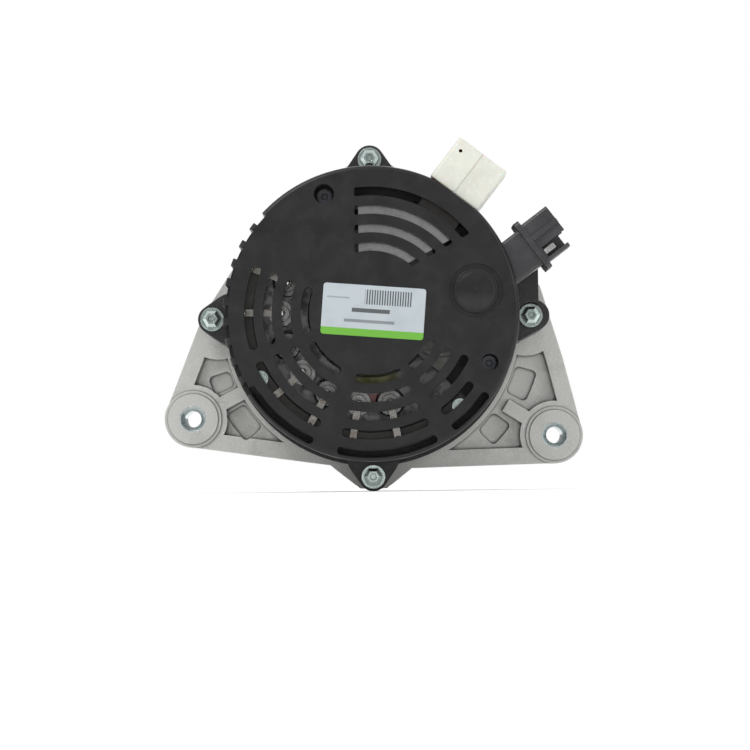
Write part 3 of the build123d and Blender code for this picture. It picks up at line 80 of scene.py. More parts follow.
class Paint:
    """One Principled material, built up in layers over the object's own space, in metres."""

    def __init__(self, name, colour, roughness, metallic=0.0, soft_edge=SOFT_EDGE, **sockets):
        self.material = bpy.data.materials.new(name)
        self.material.use_nodes = True
        self.tree = self.material.node_tree
        self.shader = self.tree.nodes["Principled BSDF"]
        self.shader.inputs["Metallic"].default_value = metallic
        for key, value in sockets.items():
            self.shader.inputs[key.replace("_", " ")].default_value = value
        self.material.diffuse_color = (*colour, 1)
        self.place = self.add("ShaderNodeTexCoord").outputs["Object"]
        self.colour = (*colour, 1)
        self.roughness = roughness
        self.normal = None
        if soft_edge:
            feeds = {"Radius": soft_edge}
            self.normal = self.add("ShaderNodeBevel", feeds, samples=BEVEL_SAMPLES).outputs[0]

    def add(self, kind, feeds=(), **settings):
        node = self.tree.nodes.new(kind)
        for key, value in settings.items():
            setattr(node, key, value)
        for key, value in dict(feeds).items():
            self.feed(node.inputs[key], value)
        return node

    def feed(self, socket, value):
        if isinstance(value, bpy.types.NodeSocket):
            self.tree.links.new(value, socket)
        else:
            socket.default_value = value

    def math(self, operation, a, b=0.0):
        return self.add("ShaderNodeMath", {0: a, 1: b}, operation=operation).outputs[0]

    def noise(self, size, detail=3.0, rough=0.55, stretch=(1, 1, 1), place=None):
        """Cloudy noise whose features are about size metres; stretch scales the space before it."""
        where = place or self.place
        if tuple(stretch) != (1, 1, 1):
            where = self.add("ShaderNodeMapping", {"Vector": where, "Scale": stretch}).outputs[0]
        feeds = {"Vector": where, "Scale": 1 / size, "Detail": detail, "Roughness": rough}
        return self.add("ShaderNodeTexNoise", feeds).outputs["Fac"]

    def turned_place(self):
        """A space of radius and depth about the shaft, where every machined ring is one point."""
        squashed = self.add("ShaderNodeVectorMath", {0: self.place, 1: (1, 0, 1)}, operation="MULTIPLY")
        flat = squashed.outputs[0]
        radius = self.add("ShaderNodeVectorMath", {0: flat}, operation="LENGTH").outputs["Value"]
        depth = self.add("ShaderNodeSeparateXYZ", {0: self.place}).outputs["Y"]
        return self.add("ShaderNodeCombineXYZ", {"X": radius, "Y": depth}).outputs[0]

    def mask(self, value, low, high):
        feeds = {"Value": value, "From Min": low, "From Max": high}
        return self.add("ShaderNodeMapRange", feeds, interpolation_type="SMOOTHSTEP").outputs[0]

    def tint(self, colour, mask, share=1.0):
        """Lays another colour over what is there, where the mask is high."""
        if share != 1.0:
            mask = self.math("MULTIPLY", mask, share)
        mixer = self.add("ShaderNodeMix", data_type="RGBA")
        self.feed(mixer.inputs[0], mask)
        self.feed(mixer.inputs[6], self.colour)
        self.feed(mixer.inputs[7], (*colour, 1))
        self.colour = mixer.outputs[2]
        return self

    def gloss(self, roughness, mask):
        """Moves the roughness towards another value, where the mask is high."""
        mixer = self.add("ShaderNodeMix", data_type="FLOAT")
        self.feed(mixer.inputs[0], mask)
        self.feed(mixer.inputs[2], self.roughness)
        self.feed(mixer.inputs[3], roughness)
        self.roughness = mixer.outputs[0]
        return self

    def bump(self, height, value):
        """Relief of that height in metres."""
        node = self.add("ShaderNodeBump", {"Height": value, "Distance": height})
        if self.normal is not None:
            self.feed(node.inputs["Normal"], self.normal)
        self.normal = node.outputs[0]
        return self

    def edge(self, radius):
        """High on the outer and inner edges that a thumb or a cloth reaches first."""
        rounded = self.add("ShaderNodeBevel", {"Radius": radius}, samples=BEVEL_SAMPLES).outputs[0]
        flat = self.add("ShaderNodeNewGeometry").outputs["Normal"]
        agree = self.add("ShaderNodeVectorMath", {0: rounded, 1: flat}, operation="DOT_PRODUCT")
        return self.mask(agree.outputs["Value"], *EDGE_RANGE)

    def crevice(self, reach):
        """High in the creases: marks dirt there, and painted shade where shadow gathers."""
        feeds = {"Distance": reach}
        shade = self.add("ShaderNodeAmbientOcclusion", feeds, samples=CREVICE_SAMPLES).outputs["AO"]
        return self.mask(shade, *CREVICE_RANGE)

    def done(self):
        self.feed(self.shader.inputs["Base Color"], self.colour)
        self.feed(self.shader.inputs["Roughness"], self.roughness)
        if self.normal is not None:
            self.feed(self.shader.inputs["Normal"], self.normal)
        return self.material


def moulded(name, colour, light, roughness, **sockets):
    """Moulded plastic: a spark-eroded grain, faint flow clouds and a little handling shine."""
    p = Paint(name, colour, roughness, **sockets)
    p.tint(light, p.mask(p.noise(9 * MM, 4), 0.42, 0.68), 0.55)
    p.tint(light, p.mask(p.noise(1.3 * MM, 2), 0.55, 0.75), 0.35)
    p.gloss(roughness * 0.72, p.mask(p.noise(22 * MM, 3), 0.45, 0.66))
    p.bump(0.012 * MM, p.noise(0.45 * MM, 2, 0.5))
    p.bump(0.02 * MM, p.noise(6 * MM, 2))
    return p.done()


def plated(name, colour, warm, roughness, streaks=(1, 1, 1)):
    """Plated steel: a bright coat with faint warm bloom, drawn streaks, small handling marks, and creases
    darkened by dirt and painted shade.
    """
    p = Paint(name, colour, roughness, 1.0)
    p.tint(warm, p.mask(p.noise(4 * MM, 4), 0.45, 0.7), 0.6)
    p.tint(tuple(c * 0.55 for c in colour), p.mask(p.noise(1.1 * MM, 4, 0.7), 0.60, 0.82), 0.4)
    # Darker in the creases: dirt, and painted shade.
    p.tint(tuple(c * 0.12 for c in colour), p.crevice(1.2 * MM), 0.8)
    p.gloss(roughness * 1.7, p.mask(p.noise(2.2 * MM, 4, 0.65), 0.46, 0.74))
    p.bump(0.008 * MM, p.noise(0.35 * MM, 3, 0.6, streaks))
    p.bump(0.02 * MM, p.noise(2.5 * MM, 2))
    return p.done()


def turned(name, colour, dark, roughness, pitch=0.12 * MM, depth=0.006 * MM):
    """Lathe-turned metal: fine rings about the shaft, with oil-dark staining between them."""
    p = Paint(name, colour, roughness, 1.0)
    rings = p.noise(pitch, 2, 0.6, place=p.turned_place())
    broad = p.noise(1.6 * MM, 3, 0.6, place=p.turned_place())
    p.tint(dark, p.mask(broad, 0.42, 0.72), 0.55)
    p.tint(dark, p.mask(p.noise(5 * MM, 4, 0.65), 0.5, 0.75), 0.5)
    p.gloss(roughness * 1.7, p.mask(p.noise(3 * MM, 4), 0.45, 0.7))
    p.bump(depth, rings)
    return p.done()


def cast(name, colour, light, dark, roughness, metallic):
    """Die casting: shot-blasted skin with a fine pebble, soft blotches, brighter rubbed edges, and creases
    darkened by dirt and painted shade.
    """
    p = Paint(name, colour, roughness, metallic)
    p.tint(dark, p.mask(p.noise(14 * MM, 5, 0.6), 0.48, 0.75), 0.5)
    p.tint(light, p.mask(p.noise(0.9 * MM, 2), 0.5, 0.72), 0.45)
    p.tint(dark, p.mask(p.noise(0.5 * MM, 2), 0.6, 0.8), 0.55)
    p.tint(light, p.edge(0.8 * MM), 0.6)
    # Darker in the creases: dirt, and painted shade.
    p.tint(tuple(c * 0.22 for c in dark), p.crevice(2.2 * MM), 0.85)
    p.gloss(roughness * 0.8, p.mask(p.noise(11 * MM, 3), 0.45, 0.68))
    p.bump(0.05 * MM, p.noise(0.55 * MM, 3, 0.6))
    p.bump(0.12 * MM, p.noise(7 * MM, 3))
    return p.done()


LABEL_TILT = math.radians(4.6)
PRINT_EDGE = 0.04 * MM
GREEN_BAND = (-20 * MM, -8.9 * MM)
BAR_PITCH = 1.25 * MM
BARS_ACROSS, BARS_UP = (-4.5 * MM, 18.5 * MM), (3.2 * MM, 10.4 * MM)
INK = (0.03, 0.03, 0.035)
RULES = (
    ((-10.5 * MM, 8.0 * MM), (-0.9 * MM, 1.1 * MM), 0.85),
    ((-14.0 * MM, 10.5 * MM), (-5.9 * MM, -4.4 * MM), 0.55),
    ((-23.0 * MM, -12.0 * MM), (5.4 * MM, 6.2 * MM), 0.35),
)


def label_film():
    """Semi-gloss label stock with a green band, plain rules and even bars in place of any print."""
    low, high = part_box("rating_label")
    centre = (low + high) / 2
    p = Paint("label_film", (0.48, 0.53, 0.56), 0.34, 0.0)
    p.tint((0.40, 0.46, 0.50), p.mask(p.noise(12 * MM, 4), 0.42, 0.7), 0.6)
    feeds = {"Vector": p.place, "Location": tuple(centre), "Rotation": (0, LABEL_TILT, 0)}
    aligned = p.add("ShaderNodeMapping", feeds, vector_type="TEXTURE").outputs[0]
    axes = p.add("ShaderNodeSeparateXYZ", {0: aligned}).outputs
    across, up = axes["X"], axes["Z"]

    def within(value, low, high):
        rises = p.mask(value, low - PRINT_EDGE, low + PRINT_EDGE)
        falls = p.mask(value, high + PRINT_EDGE, high - PRINT_EDGE)
        return p.math("MULTIPLY", rises, falls)

    p.tint((0.15, 0.43, 0.045), within(up, *GREEN_BAND))
    wave = p.math("SINE", p.math("MULTIPLY", across, math.tau / BAR_PITCH))
    bars = p.math("MULTIPLY", p.mask(wave, -0.1, 0.1), within(across, *BARS_ACROSS))
    p.tint(INK, p.math("MULTIPLY", bars, within(up, *BARS_UP)), 0.9)
    for rule_across, rule_up, share in RULES:
        rule = p.math("MULTIPLY", within(across, *rule_across), within(up, *rule_up))
        p.tint(INK, rule, share)
    p.gloss(0.5, p.mask(p.noise(5 * MM, 4, 0.65), 0.45, 0.75))
    p.bump(0.01 * MM, p.noise(4 * MM, 3))
    p.bump(0.003 * MM, p.noise(0.3 * MM, 2))
    return p.done()


STAIN_ACROSS = (17 * MM, 9 * MM)
KHAKI_TOP, KHAKI_FOOT = (-24 * MM, -34 * MM), (-38 * MM, -35 * MM)
ROSE_TOP, ROSE_FOOT = (-38 * MM, -40 * MM), (-47 * MM, -44 * MM)


def plate_stains_and_shade():
    """Pressed aluminium under the rectifier: dull grey, with varnish, heat bloom and dark diode wells; its
    dark grey and broad dark patches are stains and partly painted shade for the inside of the housing.
    """
    p = Paint("plate_stains_and_shade", (0.20, 0.20, 0.205), 0.38, 0.8)
    # Broad dark patches: stains, and partly painted shade for the inside of the housing.
    p.tint((0.045, 0.042, 0.04), p.mask(p.noise(7 * MM, 5, 0.65), 0.40, 0.62), 0.85)
    p.tint((0.42, 0.42, 0.42), p.mask(p.noise(2.6 * MM, 4, 0.7), 0.60, 0.74), 0.6)
    axes = p.add("ShaderNodeSeparateXYZ", {0: p.place}).outputs
    near_middle = p.mask(p.math("ABSOLUTE", axes["X"]), *STAIN_ACROSS)
    khaki = p.math("MULTIPLY", p.mask(axes["Z"], *KHAKI_TOP), p.mask(axes["Z"], *KHAKI_FOOT))
    p.tint((0.13, 0.125, 0.045), p.math("MULTIPLY", khaki, near_middle), 0.85)
    rose = p.math("MULTIPLY", p.mask(axes["Z"], *ROSE_TOP), p.mask(axes["Z"], *ROSE_FOOT))
    p.tint((0.17, 0.055, 0.05), p.math("MULTIPLY", rose, near_middle), 0.7)
    p.gloss(0.6, p.mask(p.noise(3 * MM, 4), 0.42, 0.66))
    p.bump(0.02 * MM, p.noise(0.5 * MM, 3, 0.6, (1, 0.1, 0.1)))
    return p.done()


def solder():
    """Tinned joints: bright, slightly wrinkled beads with a brown ring of flux."""
    p = Paint("solder", (0.74, 0.74, 0.72), 0.2, 1.0, soft_edge=0)
    p.tint((0.30, 0.22, 0.12), p.mask(p.noise(1.6 * MM, 4, 0.6), 0.56, 0.72), 0.6)
    p.gloss(0.45, p.mask(p.noise(0.9 * MM, 3), 0.45, 0.7))
    p.bump(0.03 * MM, p.noise(0.7 * MM, 3))
    return p.done()


SHEET = 0.65 * MM


def laminations():
    """A stack of punched steel sheets: fine lines along the shaft, thin varnish and rust bloom."""
    p = Paint("lamination_steel", (0.30, 0.30, 0.30), 0.42, 0.85)
    depth = p.add("ShaderNodeSeparateXYZ", {0: p.place}).outputs["Y"]
    sheet = p.math("SINE", p.math("MULTIPLY", depth, math.tau / SHEET))
    p.tint((0.10, 0.095, 0.09), p.mask(sheet, -0.2, -0.95), 0.75)
    each = p.noise(SHEET, 1, 0.5, (0.02, 1, 0.02))
    p.tint((0.44, 0.43, 0.41), p.mask(each, 0.5, 0.7), 0.6)
    p.tint((0.16, 0.10, 0.06), p.mask(p.noise(6 * MM, 5, 0.65), 0.56, 0.8), 0.6)
    p.gloss(0.6, p.mask(p.noise(4 * MM, 4), 0.45, 0.7))
    p.bump(0.05 * MM, sheet)
    return p.done()


def enamelled_copper():
    """Enamelled winding wire under baked varnish."""
    p = Paint("enamelled_copper", (0.52, 0.19, 0.07), 0.3, 0.75, 0, Coat_Weight=0.5, Coat_Roughness=0.15)
    p.tint((0.30, 0.085, 0.03), p.mask(p.noise(3 * MM, 4, 0.6), 0.42, 0.72), 0.75)
    p.tint((0.70, 0.32, 0.13), p.mask(p.noise(1.2 * MM, 3), 0.55, 0.75), 0.5)
    p.gloss(0.5, p.mask(p.noise(2.2 * MM, 3), 0.4, 0.7))
    p.bump(0.04 * MM, p.noise(1.6 * MM, 3))
    return p.done()


FIELD_WIRE = 0.85 * MM


def wound_coil():
    """The field coil's face: round wire laid turn beside turn along the shaft."""
    p = Paint("wound_coil", (0.50, 0.18, 0.07), 0.32, 0.7, Coat_Weight=0.4, Coat_Roughness=0.2)
    depth = p.add("ShaderNodeSeparateXYZ", {0: p.place}).outputs["Y"]
    turn = p.math("ABSOLUTE", p.math("SINE", p.math("MULTIPLY", depth, math.pi / FIELD_WIRE)))
    # Darker where neighbouring turns meet: painted shade in the valleys between the wires.
    p.tint((0.14, 0.045, 0.02), p.mask(turn, 0.45, 0.0), 0.85)
    p.tint((0.30, 0.09, 0.03), p.mask(p.noise(4 * MM, 4), 0.45, 0.7), 0.6)
    p.bump(0.25 * MM, turn)
    return p.done()


def slot_paper():
    """Pressed insulating paper: tan, fibrous along the slot, darker where varnish soaked in."""
    p = Paint("slot_paper", (0.42, 0.31, 0.16), 0.7)
    p.tint((0.30, 0.20, 0.09), p.mask(p.noise(3 * MM, 5, 0.65), 0.4, 0.7), 0.7)
    p.tint((0.55, 0.44, 0.27), p.mask(p.noise(0.4 * MM, 3, 0.6, (1, 0.15, 1)), 0.5, 0.7), 0.4)
    p.bump(0.02 * MM, p.noise(0.5 * MM, 3, 0.6, (1, 0.2, 1)))
    return p.done()


def carbon():
    """Copper-graphite brush: dull grey-black with metal flecks."""
    p = Paint("carbon", (0.035, 0.034, 0.036), 0.55, 0.35)
    p.tint((0.34, 0.16, 0.08), p.mask(p.noise(0.35 * MM, 2), 0.62, 0.72), 0.8)
    p.tint((0.09, 0.09, 0.09), p.mask(p.noise(1.5 * MM, 3), 0.45, 0.7), 0.6)
    p.bump(0.02 * MM, p.noise(0.3 * MM, 3))
    return p.done()


def cap_plastic():
    """Natural, slightly translucent moulded cap: milky, with a fine matt grain."""
    p = Paint("cap_plastic", (0.70, 0.70, 0.63), 0.42, 0.0, Subsurface_Weight=0.18, Subsurface_Scale=0.004)
    p.tint((0.60, 0.60, 0.53), p.mask(p.noise(10 * MM, 4), 0.42, 0.7), 0.6)
    p.tint((0.78, 0.78, 0.73), p.mask(p.noise(2 * MM, 3), 0.5, 0.72), 0.5)
    p.gloss(0.3, p.mask(p.noise(14 * MM, 3), 0.45, 0.66))
    p.bump(0.012 * MM, p.noise(0.5 * MM, 2))
    p.bump(0.03 * MM, p.noise(5 * MM, 2))
    return p.done()


MATERIALS = {
    "cover_plastic": moulded(
        "cover_plastic", (0.010, 0.010, 0.011), (0.021, 0.021, 0.022), 0.40, Specular_IOR_Level=0.36
    ),
    "label_film": label_film(),
    "zinc_steel": plated("zinc_steel", (0.56, 0.66, 0.64), (0.62, 0.66, 0.58), 0.17),
    "black_zinc": plated("black_zinc", (0.10, 0.10, 0.11), (0.07, 0.08, 0.10), 0.34),
    "black_casting": cast(
        "black_casting", (0.018, 0.018, 0.019), (0.06, 0.06, 0.062), (0.01, 0.01, 0.01), 0.42, 0.1
    ),
    "cast_aluminium": cast(
        "cast_aluminium", (0.56, 0.56, 0.54), (0.76, 0.76, 0.74), (0.38, 0.38, 0.355), 0.5, 0.4
    ),
    "bush_steel": plated("bush_steel", (0.55, 0.60, 0.60), (0.42, 0.55, 0.58), 0.26),
    "lamination_steel": laminations(),
    "enamelled_copper": enamelled_copper(),
    "wound_coil": wound_coil(),
    "slot_paper": slot_paper(),
    "bearing_steel": turned("bearing_steel", (0.66, 0.66, 0.65), (0.42, 0.41, 0.39), 0.16),
    "seal_rubber": moulded("seal_rubber", (0.022, 0.018, 0.015), (0.05, 0.042, 0.035), 0.6),
    "shaft_steel": turned("shaft_steel", (0.56, 0.55, 0.53), (0.30, 0.28, 0.26), 0.26),
    "pole_iron": turned("pole_iron", (0.30, 0.295, 0.285), (0.12, 0.11, 0.10), 0.4, 0.2 * MM, 0.012 * MM),
    "bobbin_plastic": moulded("bobbin_plastic", (0.50, 0.46, 0.36), (0.60, 0.57, 0.47), 0.5),
    "fan_steel": plated("fan_steel", (0.40, 0.40, 0.38), (0.33, 0.32, 0.28), 0.34),
    "pulley_steel": turned(
        "pulley_steel", (0.46, 0.455, 0.44), (0.20, 0.19, 0.175), 0.3, 0.16 * MM, 0.01 * MM
    ),
    "slip_copper": turned("slip_copper", (0.80, 0.38, 0.20), (0.42, 0.16, 0.08), 0.2),
    "insulator_plastic": moulded("insulator_plastic", (0.03, 0.026, 0.022), (0.06, 0.05, 0.042), 0.45),
    "carbon": carbon(),
    "spring_steel": plated("spring_steel", (0.55, 0.52, 0.46), (0.60, 0.46, 0.25), 0.22),
    "regulator_plastic": moulded("regulator_plastic", (0.035, 0.033, 0.033), (0.07, 0.066, 0.064), 0.5),
    # Dark grey, darker than bare aluminium: partly painted shade for the inside of the housing.
    "heatsink_aluminium": plated(
        "heatsink_aluminium", (0.28, 0.28, 0.285), (0.22, 0.22, 0.215), 0.42, (1, 0.1, 0.1)
    ),
    "frame_plastic": moulded("frame_plastic", (0.032, 0.031, 0.028), (0.07, 0.066, 0.06), 0.45),
    "diode_metal": plated("diode_metal", (0.30, 0.30, 0.30), (0.24, 0.22, 0.20), 0.25),
    "tinned_copper": plated("tinned_copper", (0.34, 0.33, 0.31), (0.16, 0.12, 0.09), 0.2),
    "connector_plastic": moulded("connector_plastic", (0.030, 0.030, 0.033), (0.055, 0.055, 0.06), 0.4),
    "cap_plastic": cap_plastic(),
    "plate_stains_and_shade": plate_stains_and_shade(),
    "solder": solder(),
    "bright_tin": plated("bright_tin", (0.86, 0.87, 0.85), (0.56, 0.54, 0.50), 0.18),
}
NODE_MATERIALS = {
    "field_coil": "wound_coil",
    "rectifier_positive_plate": "plate_stains_and_shade",
    "rectifier_negative_plate": "plate_stains_and_shade",
    "connector_pins": "bright_tin",
}

for part in frame["record"]["subparts"]:
    name = part["node"]
    finish = MATERIALS[NODE_MATERIALS.get(name, part["material_slot"])]
    mesh = frame["nodes"][name].data
    mesh.materials.clear()
    mesh.materials.append(finish)

# ------------------------------------------------------------------ wound, drawn and soldered pieces
SHAFT_AXIS = Vector((0, 1, 0))


def new_piece(name, bm, finish, body):
    """Turns the built mesh into one smooth-shaded piece that rides a CAD body."""
    bmesh.ops.recalc_face_normals(bm, faces=bm.faces)
    for face in bm.faces:
        face.smooth = True
    mesh = bpy.data.meshes.new(name)
    bm.to_mesh(mesh)
    bm.free()
    mesh.materials.append(MATERIALS[finish])
    piece = bpy.data.objects.new(name, mesh)
    scene.collection.objects.link(piece)
    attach(piece, body)
    return piece


def tube(bm, path, radius, up, sides=8, closed=False):
    """Round wire along a path; up gives a direction at each point that the path never runs along."""
    count = len(path)
    rings = []
    for i, point in enumerate(path):
        before = path[i - 1] if closed else path[max(i - 1, 0)]
        after = path[(i + 1) % count] if closed else path[min(i + 1, count - 1)]
        along = (after - before).normalized()
        normal = up(point)
        normal = (normal - along * normal.dot(along)).normalized()
        side = along.cross(normal)
        ring = []
        for k in range(sides):
            turn = math.tau * k / sides
            ring.append(bm.verts.new(point + (normal * math.cos(turn) + side * math.sin(turn)) * radius))
        rings.append(ring)
    ends = [(rings[-1], rings[0])] if closed else []
    for one, two in list(zip(rings, rings[1:])) + ends:
        for k in range(sides):
            bm.faces.new((one[k], one[(k + 1) % sides], two[(k + 1) % sides], two[k]))
    if not closed:
        bm.faces.new(rings[0])
        bm.faces.new(rings[-1])


def islands(node):
    """The separate solids of one CAD node, each as its list of points."""
    bm = bmesh.new()
    bm.from_mesh(frame["nodes"][node].data)
    bmesh.ops.remove_doubles(bm, verts=bm.verts, dist=0.001 * MM)
    found, seen = [], set()
    for start in bm.verts:
        if start in seen:
            continue
        group, queue = [], [start]
        seen.add(start)
        while queue:
            vert = queue.pop()
            group.append(vert.co.copy())
            for edge in vert.link_edges:
                other = edge.other_vert(vert)
                if other not in seen:
                    seen.add(other)
                    queue.append(other)
        found.append(group)
    bm.free()
    return found


STATOR_SLOTS, COIL_PITCH = 36, 3
WIRE = 0.85 * MM
WIRE_APART = 0.95 * MM
OUTER_LAYER = (2.8 * MM, 4.7 * MM)
INNER_LAYER = (8.4 * MM, 10.1 * MM)
END_TURN_FOOT = 14.0 * MM
END_TURN_STEPS, END_TURN_SIDES = 11, 6
END_TURN_FULLNESS = 0.55


def round_shaft(radius, angle, depth):
    return Vector((radius * math.cos(angle), depth, radius * math.sin(angle)))


def away_from_shaft(at):
    return Vector((at.x, 0, at.z)).normalized()


def joint_named(name):
    return next(joint for joint in frame["record"]["behaviour"]["joints"] if joint["name"] == name)


def stator_coils():
    """Each coil's wires run down one slot, arch over the core's end and come back three slots on."""
    low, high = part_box("stator_winding")
    outer_r = high.x
    bm = bmesh.new()
    slot_angle = math.tau / STATOR_SLOTS
    for slot in range(STATOR_SLOTS):
        for out, back in zip(OUTER_LAYER, INNER_LAYER):
            for side in (-1, 1):
                path = []
                start_r, end_r = outer_r - out, outer_r - back
                start = slot * slot_angle + side * WIRE_APART / start_r
                end = (slot + COIL_PITCH) * slot_angle - side * WIRE_APART / end_r
                reach = END_TURN_FOOT - WIRE - (1 + side) * WIRE
                turns = ((low.y + END_TURN_FOOT, -reach), (high.y - END_TURN_FOOT, reach))
                for (foot, rise), (from_r, from_a, to_r, to_a) in zip(
                    turns, ((start_r, start, end_r, end), (end_r, end, start_r, start))
                ):
                    for step in range(END_TURN_STEPS):
                        t = step / (END_TURN_STEPS - 1)
                        share = t * t * (3 - 2 * t)
                        arch = math.sin(math.pi * t) ** END_TURN_FULLNESS
                        radius = from_r + (to_r - from_r) * share
                        path.append(round_shaft(radius, from_a + (to_a - from_a) * share, foot + rise * arch))
                tube(bm, path, WIRE, away_from_shaft, END_TURN_SIDES, closed=True)
    piece = new_piece("stator_coils", bm, "enamelled_copper", "housing")
    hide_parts("stator_winding")


SPRING_WIRE = 0.3 * MM
SPRING_TURNS = 8
SPRING_STEPS = 16


def brush_spring(side):
    """Coil spring with a closed turn at each end, between the brush and the roof of its channel."""
    name = f"brush_spring_{side}"
    low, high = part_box(name)
    centre = (low + high) / 2
    mean_r = (high.x - low.x) / 2 - SPRING_WIRE
    bottom, top = low.z + SPRING_WIRE, high.z - SPRING_WIRE
    path = []
    for step in range(SPRING_TURNS * SPRING_STEPS + 1):
        turn = step / SPRING_STEPS
        open_share = min(max((turn - 1) / (SPRING_TURNS - 2), 0), 1)
        closing = SPRING_WIRE * 2 * (min(turn, 1) - 1 + max(turn - SPRING_TURNS + 1, 0))
        height = bottom + 2 * SPRING_WIRE + (top - bottom - 4 * SPRING_WIRE) * open_share + closing
        angle = math.tau * turn
        side_x, side_y = mean_r * math.cos(angle), mean_r * math.sin(angle)
        path.append(Vector((centre.x + side_x, centre.y + side_y, height)))
    bm = bmesh.new()
    tube(bm, path, SPRING_WIRE, lambda at: Vector((0, 0, 1)))
    piece = new_piece(f"{name}_coil", bm, "spring_steel", "housing")
    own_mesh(piece)
    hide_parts(name)


DOME_RINGS, DOME_SIDES = 18, 72
DOME_RIM = ((1.0, 0.0), (1.0, 0.30), (0.985, 0.42), (0.955, 0.50))
DOME_SHARE, DOME_FOOT = 0.93, 0.47
DOME_GROOVE_R, DOME_GROOVE_SPREAD, DOME_GROOVE_DEPTH = 0.86, 0.022, 0.35 * MM
DOME_GATE_SPREAD, DOME_GATE_DEPTH = 0.07, 0.09


def plug_dome():
    """Shallow domed plug with a moulded rim, a groove inside it and a gate mark in the middle."""
    low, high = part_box("cover_plug")
    centre = (low + high) / 2
    outer_r = (high.x - low.x) / 2
    rise = high.y - low.y
    bm = bmesh.new()
    profile = list(DOME_RIM)
    for k in range(DOME_RINGS):
        r = DOME_SHARE * (1 - k / (DOME_RINGS - 1))
        groove = math.exp(-(((r - DOME_GROOVE_R) / DOME_GROOVE_SPREAD) ** 2)) * DOME_GROOVE_DEPTH / rise
        gate = math.exp(-((r / DOME_GATE_SPREAD) ** 2)) * DOME_GATE_DEPTH
        swell = (1 - DOME_FOOT) * (1 - (r / DOME_SHARE) ** 2)
        profile.append((r, DOME_FOOT + swell - groove - gate))
    last = None
    for share, height in profile[:-1]:
        ring = []
        for k in range(DOME_SIDES):
            turn = math.tau * k / DOME_SIDES
            place = (math.cos(turn) * outer_r * share, 0, math.sin(turn) * outer_r * share)
            at = Vector((centre.x, high.y - rise * height, centre.z)) + Vector(place)
            ring.append(bm.verts.new(at))
        if last:
            for k in range(DOME_SIDES):
                bm.faces.new((last[k], last[(k + 1) % DOME_SIDES], ring[(k + 1) % DOME_SIDES], ring[k]))
        else:
            bm.faces.new(ring)
        last = ring
    top = bm.verts.new((centre.x, high.y - rise * profile[-1][1], centre.z))
    for k in range(DOME_SIDES):
        bm.faces.new((last[k], last[(k + 1) % DOME_SIDES], top))
    piece = new_piece("cover_plug_dome", bm, "cover_plastic", "housing")
    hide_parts("cover_plug")


BEAD_R, BEAD_HIGH = 1.75 * MM, 0.95 * MM
BEAD_RINGS, BEAD_SIDES = 5, 14
BEAD_ROUNDNESS = 0.8
TWO_LOBES, THREE_LOBES = 0.09, 0.05
LEAD_R, LEAD_HIGH, LEAD_LEAN, LEAD_SIDES = 0.6 * MM, 1.25 * MM, 0.12 * MM, 10
LEAD_FOOT = 0.6
FAR_BEAD = 0.85
BEAD_INSET = 2.04 * MM
BEAD_GAP = 0.02 * MM
FACE_DEPTH = 0.1 * MM


def bead(bm, centre, size, seed):
    """One solder bead with a lumpy outline, and the cut end of the lead standing out of it."""
    last = None
    for level in range(BEAD_RINGS):
        rise = level / (BEAD_RINGS - 1)
        slope = math.cos(rise * math.pi / 2) ** BEAD_ROUNDNESS
        reach = size * (LEAD_R + (BEAD_R - LEAD_R) * slope)
        ring = []
        for k in range(BEAD_SIDES):
            turn = math.tau * k / BEAD_SIDES
            lump = 1 + TWO_LOBES * math.sin(2 * turn + seed) + THREE_LOBES * math.sin(3 * turn + 2.3 * seed)
            place = (math.cos(turn) * reach * lump, -BEAD_HIGH * size * rise, math.sin(turn) * reach * lump)
            ring.append(bm.verts.new(centre + Vector(place)))
        if last:
            for k in range(BEAD_SIDES):
                after = (k + 1) % BEAD_SIDES
                bm.faces.new((last[k], last[after], ring[after], ring[k]))
        else:
            bm.faces.new(ring)
        last = ring
    bm.faces.new(last)
    foot = centre - SHAFT_AXIS * BEAD_HIGH * size * LEAD_FOOT
    lean = Vector((math.cos(seed), 0, math.sin(seed))) * LEAD_LEAN
    tip = centre - SHAFT_AXIS * LEAD_HIGH * size + lean
    tube(bm, [foot, tip], LEAD_R, lambda at: Vector((1, 0, 0)), LEAD_SIDES)


def solder_beads():
    """A bead at both ends of each connecting strip: over the diode's lead and over the frame's post."""
    bm = bmesh.new()
    for number, points in enumerate(islands("rectifier_bus_bars")):
        rear = min(at.y for at in points)
        middle = sum((at for at in points), Vector()) / len(points)
        out = away_from_shaft(middle)
        reach = [at.dot(out) for at in points if at.y < rear + FACE_DEPTH]
        ends = ((min(reach) + BEAD_INSET, 1.0), (max(reach) - BEAD_INSET, FAR_BEAD))
        for end, (along, size) in enumerate(ends):
            bead(bm, out * along + SHAFT_AXIS * (rear + BEAD_GAP), size, 1.7 * number + end)
    new_piece("solder_beads", bm, "solder", "housing")


THREAD_RISE, THREAD_STEPS, THREAD_SIDES = 0.22 * MM, 24, 6
SHAFT_PITCH, SHAFT_RUN_IN, SHAFT_RUN_OUT = 0.75 * MM, 0.4 * MM, 0.7 * MM
STUD_PITCH, STUD_RUN_IN, STUD_RUN_OUT = 0.8 * MM, 0.3 * MM, 0.9 * MM
STUD_CHAMFER = 0.6 * MM


def thread(name, axis, centre, radius, span, pitch, finish, body):
    """Rolled thread: a fine ridge that winds along a plain shank."""
    one = axis.orthogonal().normalized()
    two = axis.cross(one)
    start, end = span
    steps = int((end - start) / pitch * THREAD_STEPS)
    path = []
    for step in range(steps + 1):
        turn = math.tau * step / THREAD_STEPS
        along = start + pitch * step / THREAD_STEPS
        path.append(centre + axis * along + (one * math.cos(turn) + two * math.sin(turn)) * radius)
    bm = bmesh.new()
    tube(bm, path, THREAD_RISE, lambda at: axis, THREAD_SIDES)
    new_piece(name, bm, finish, body)


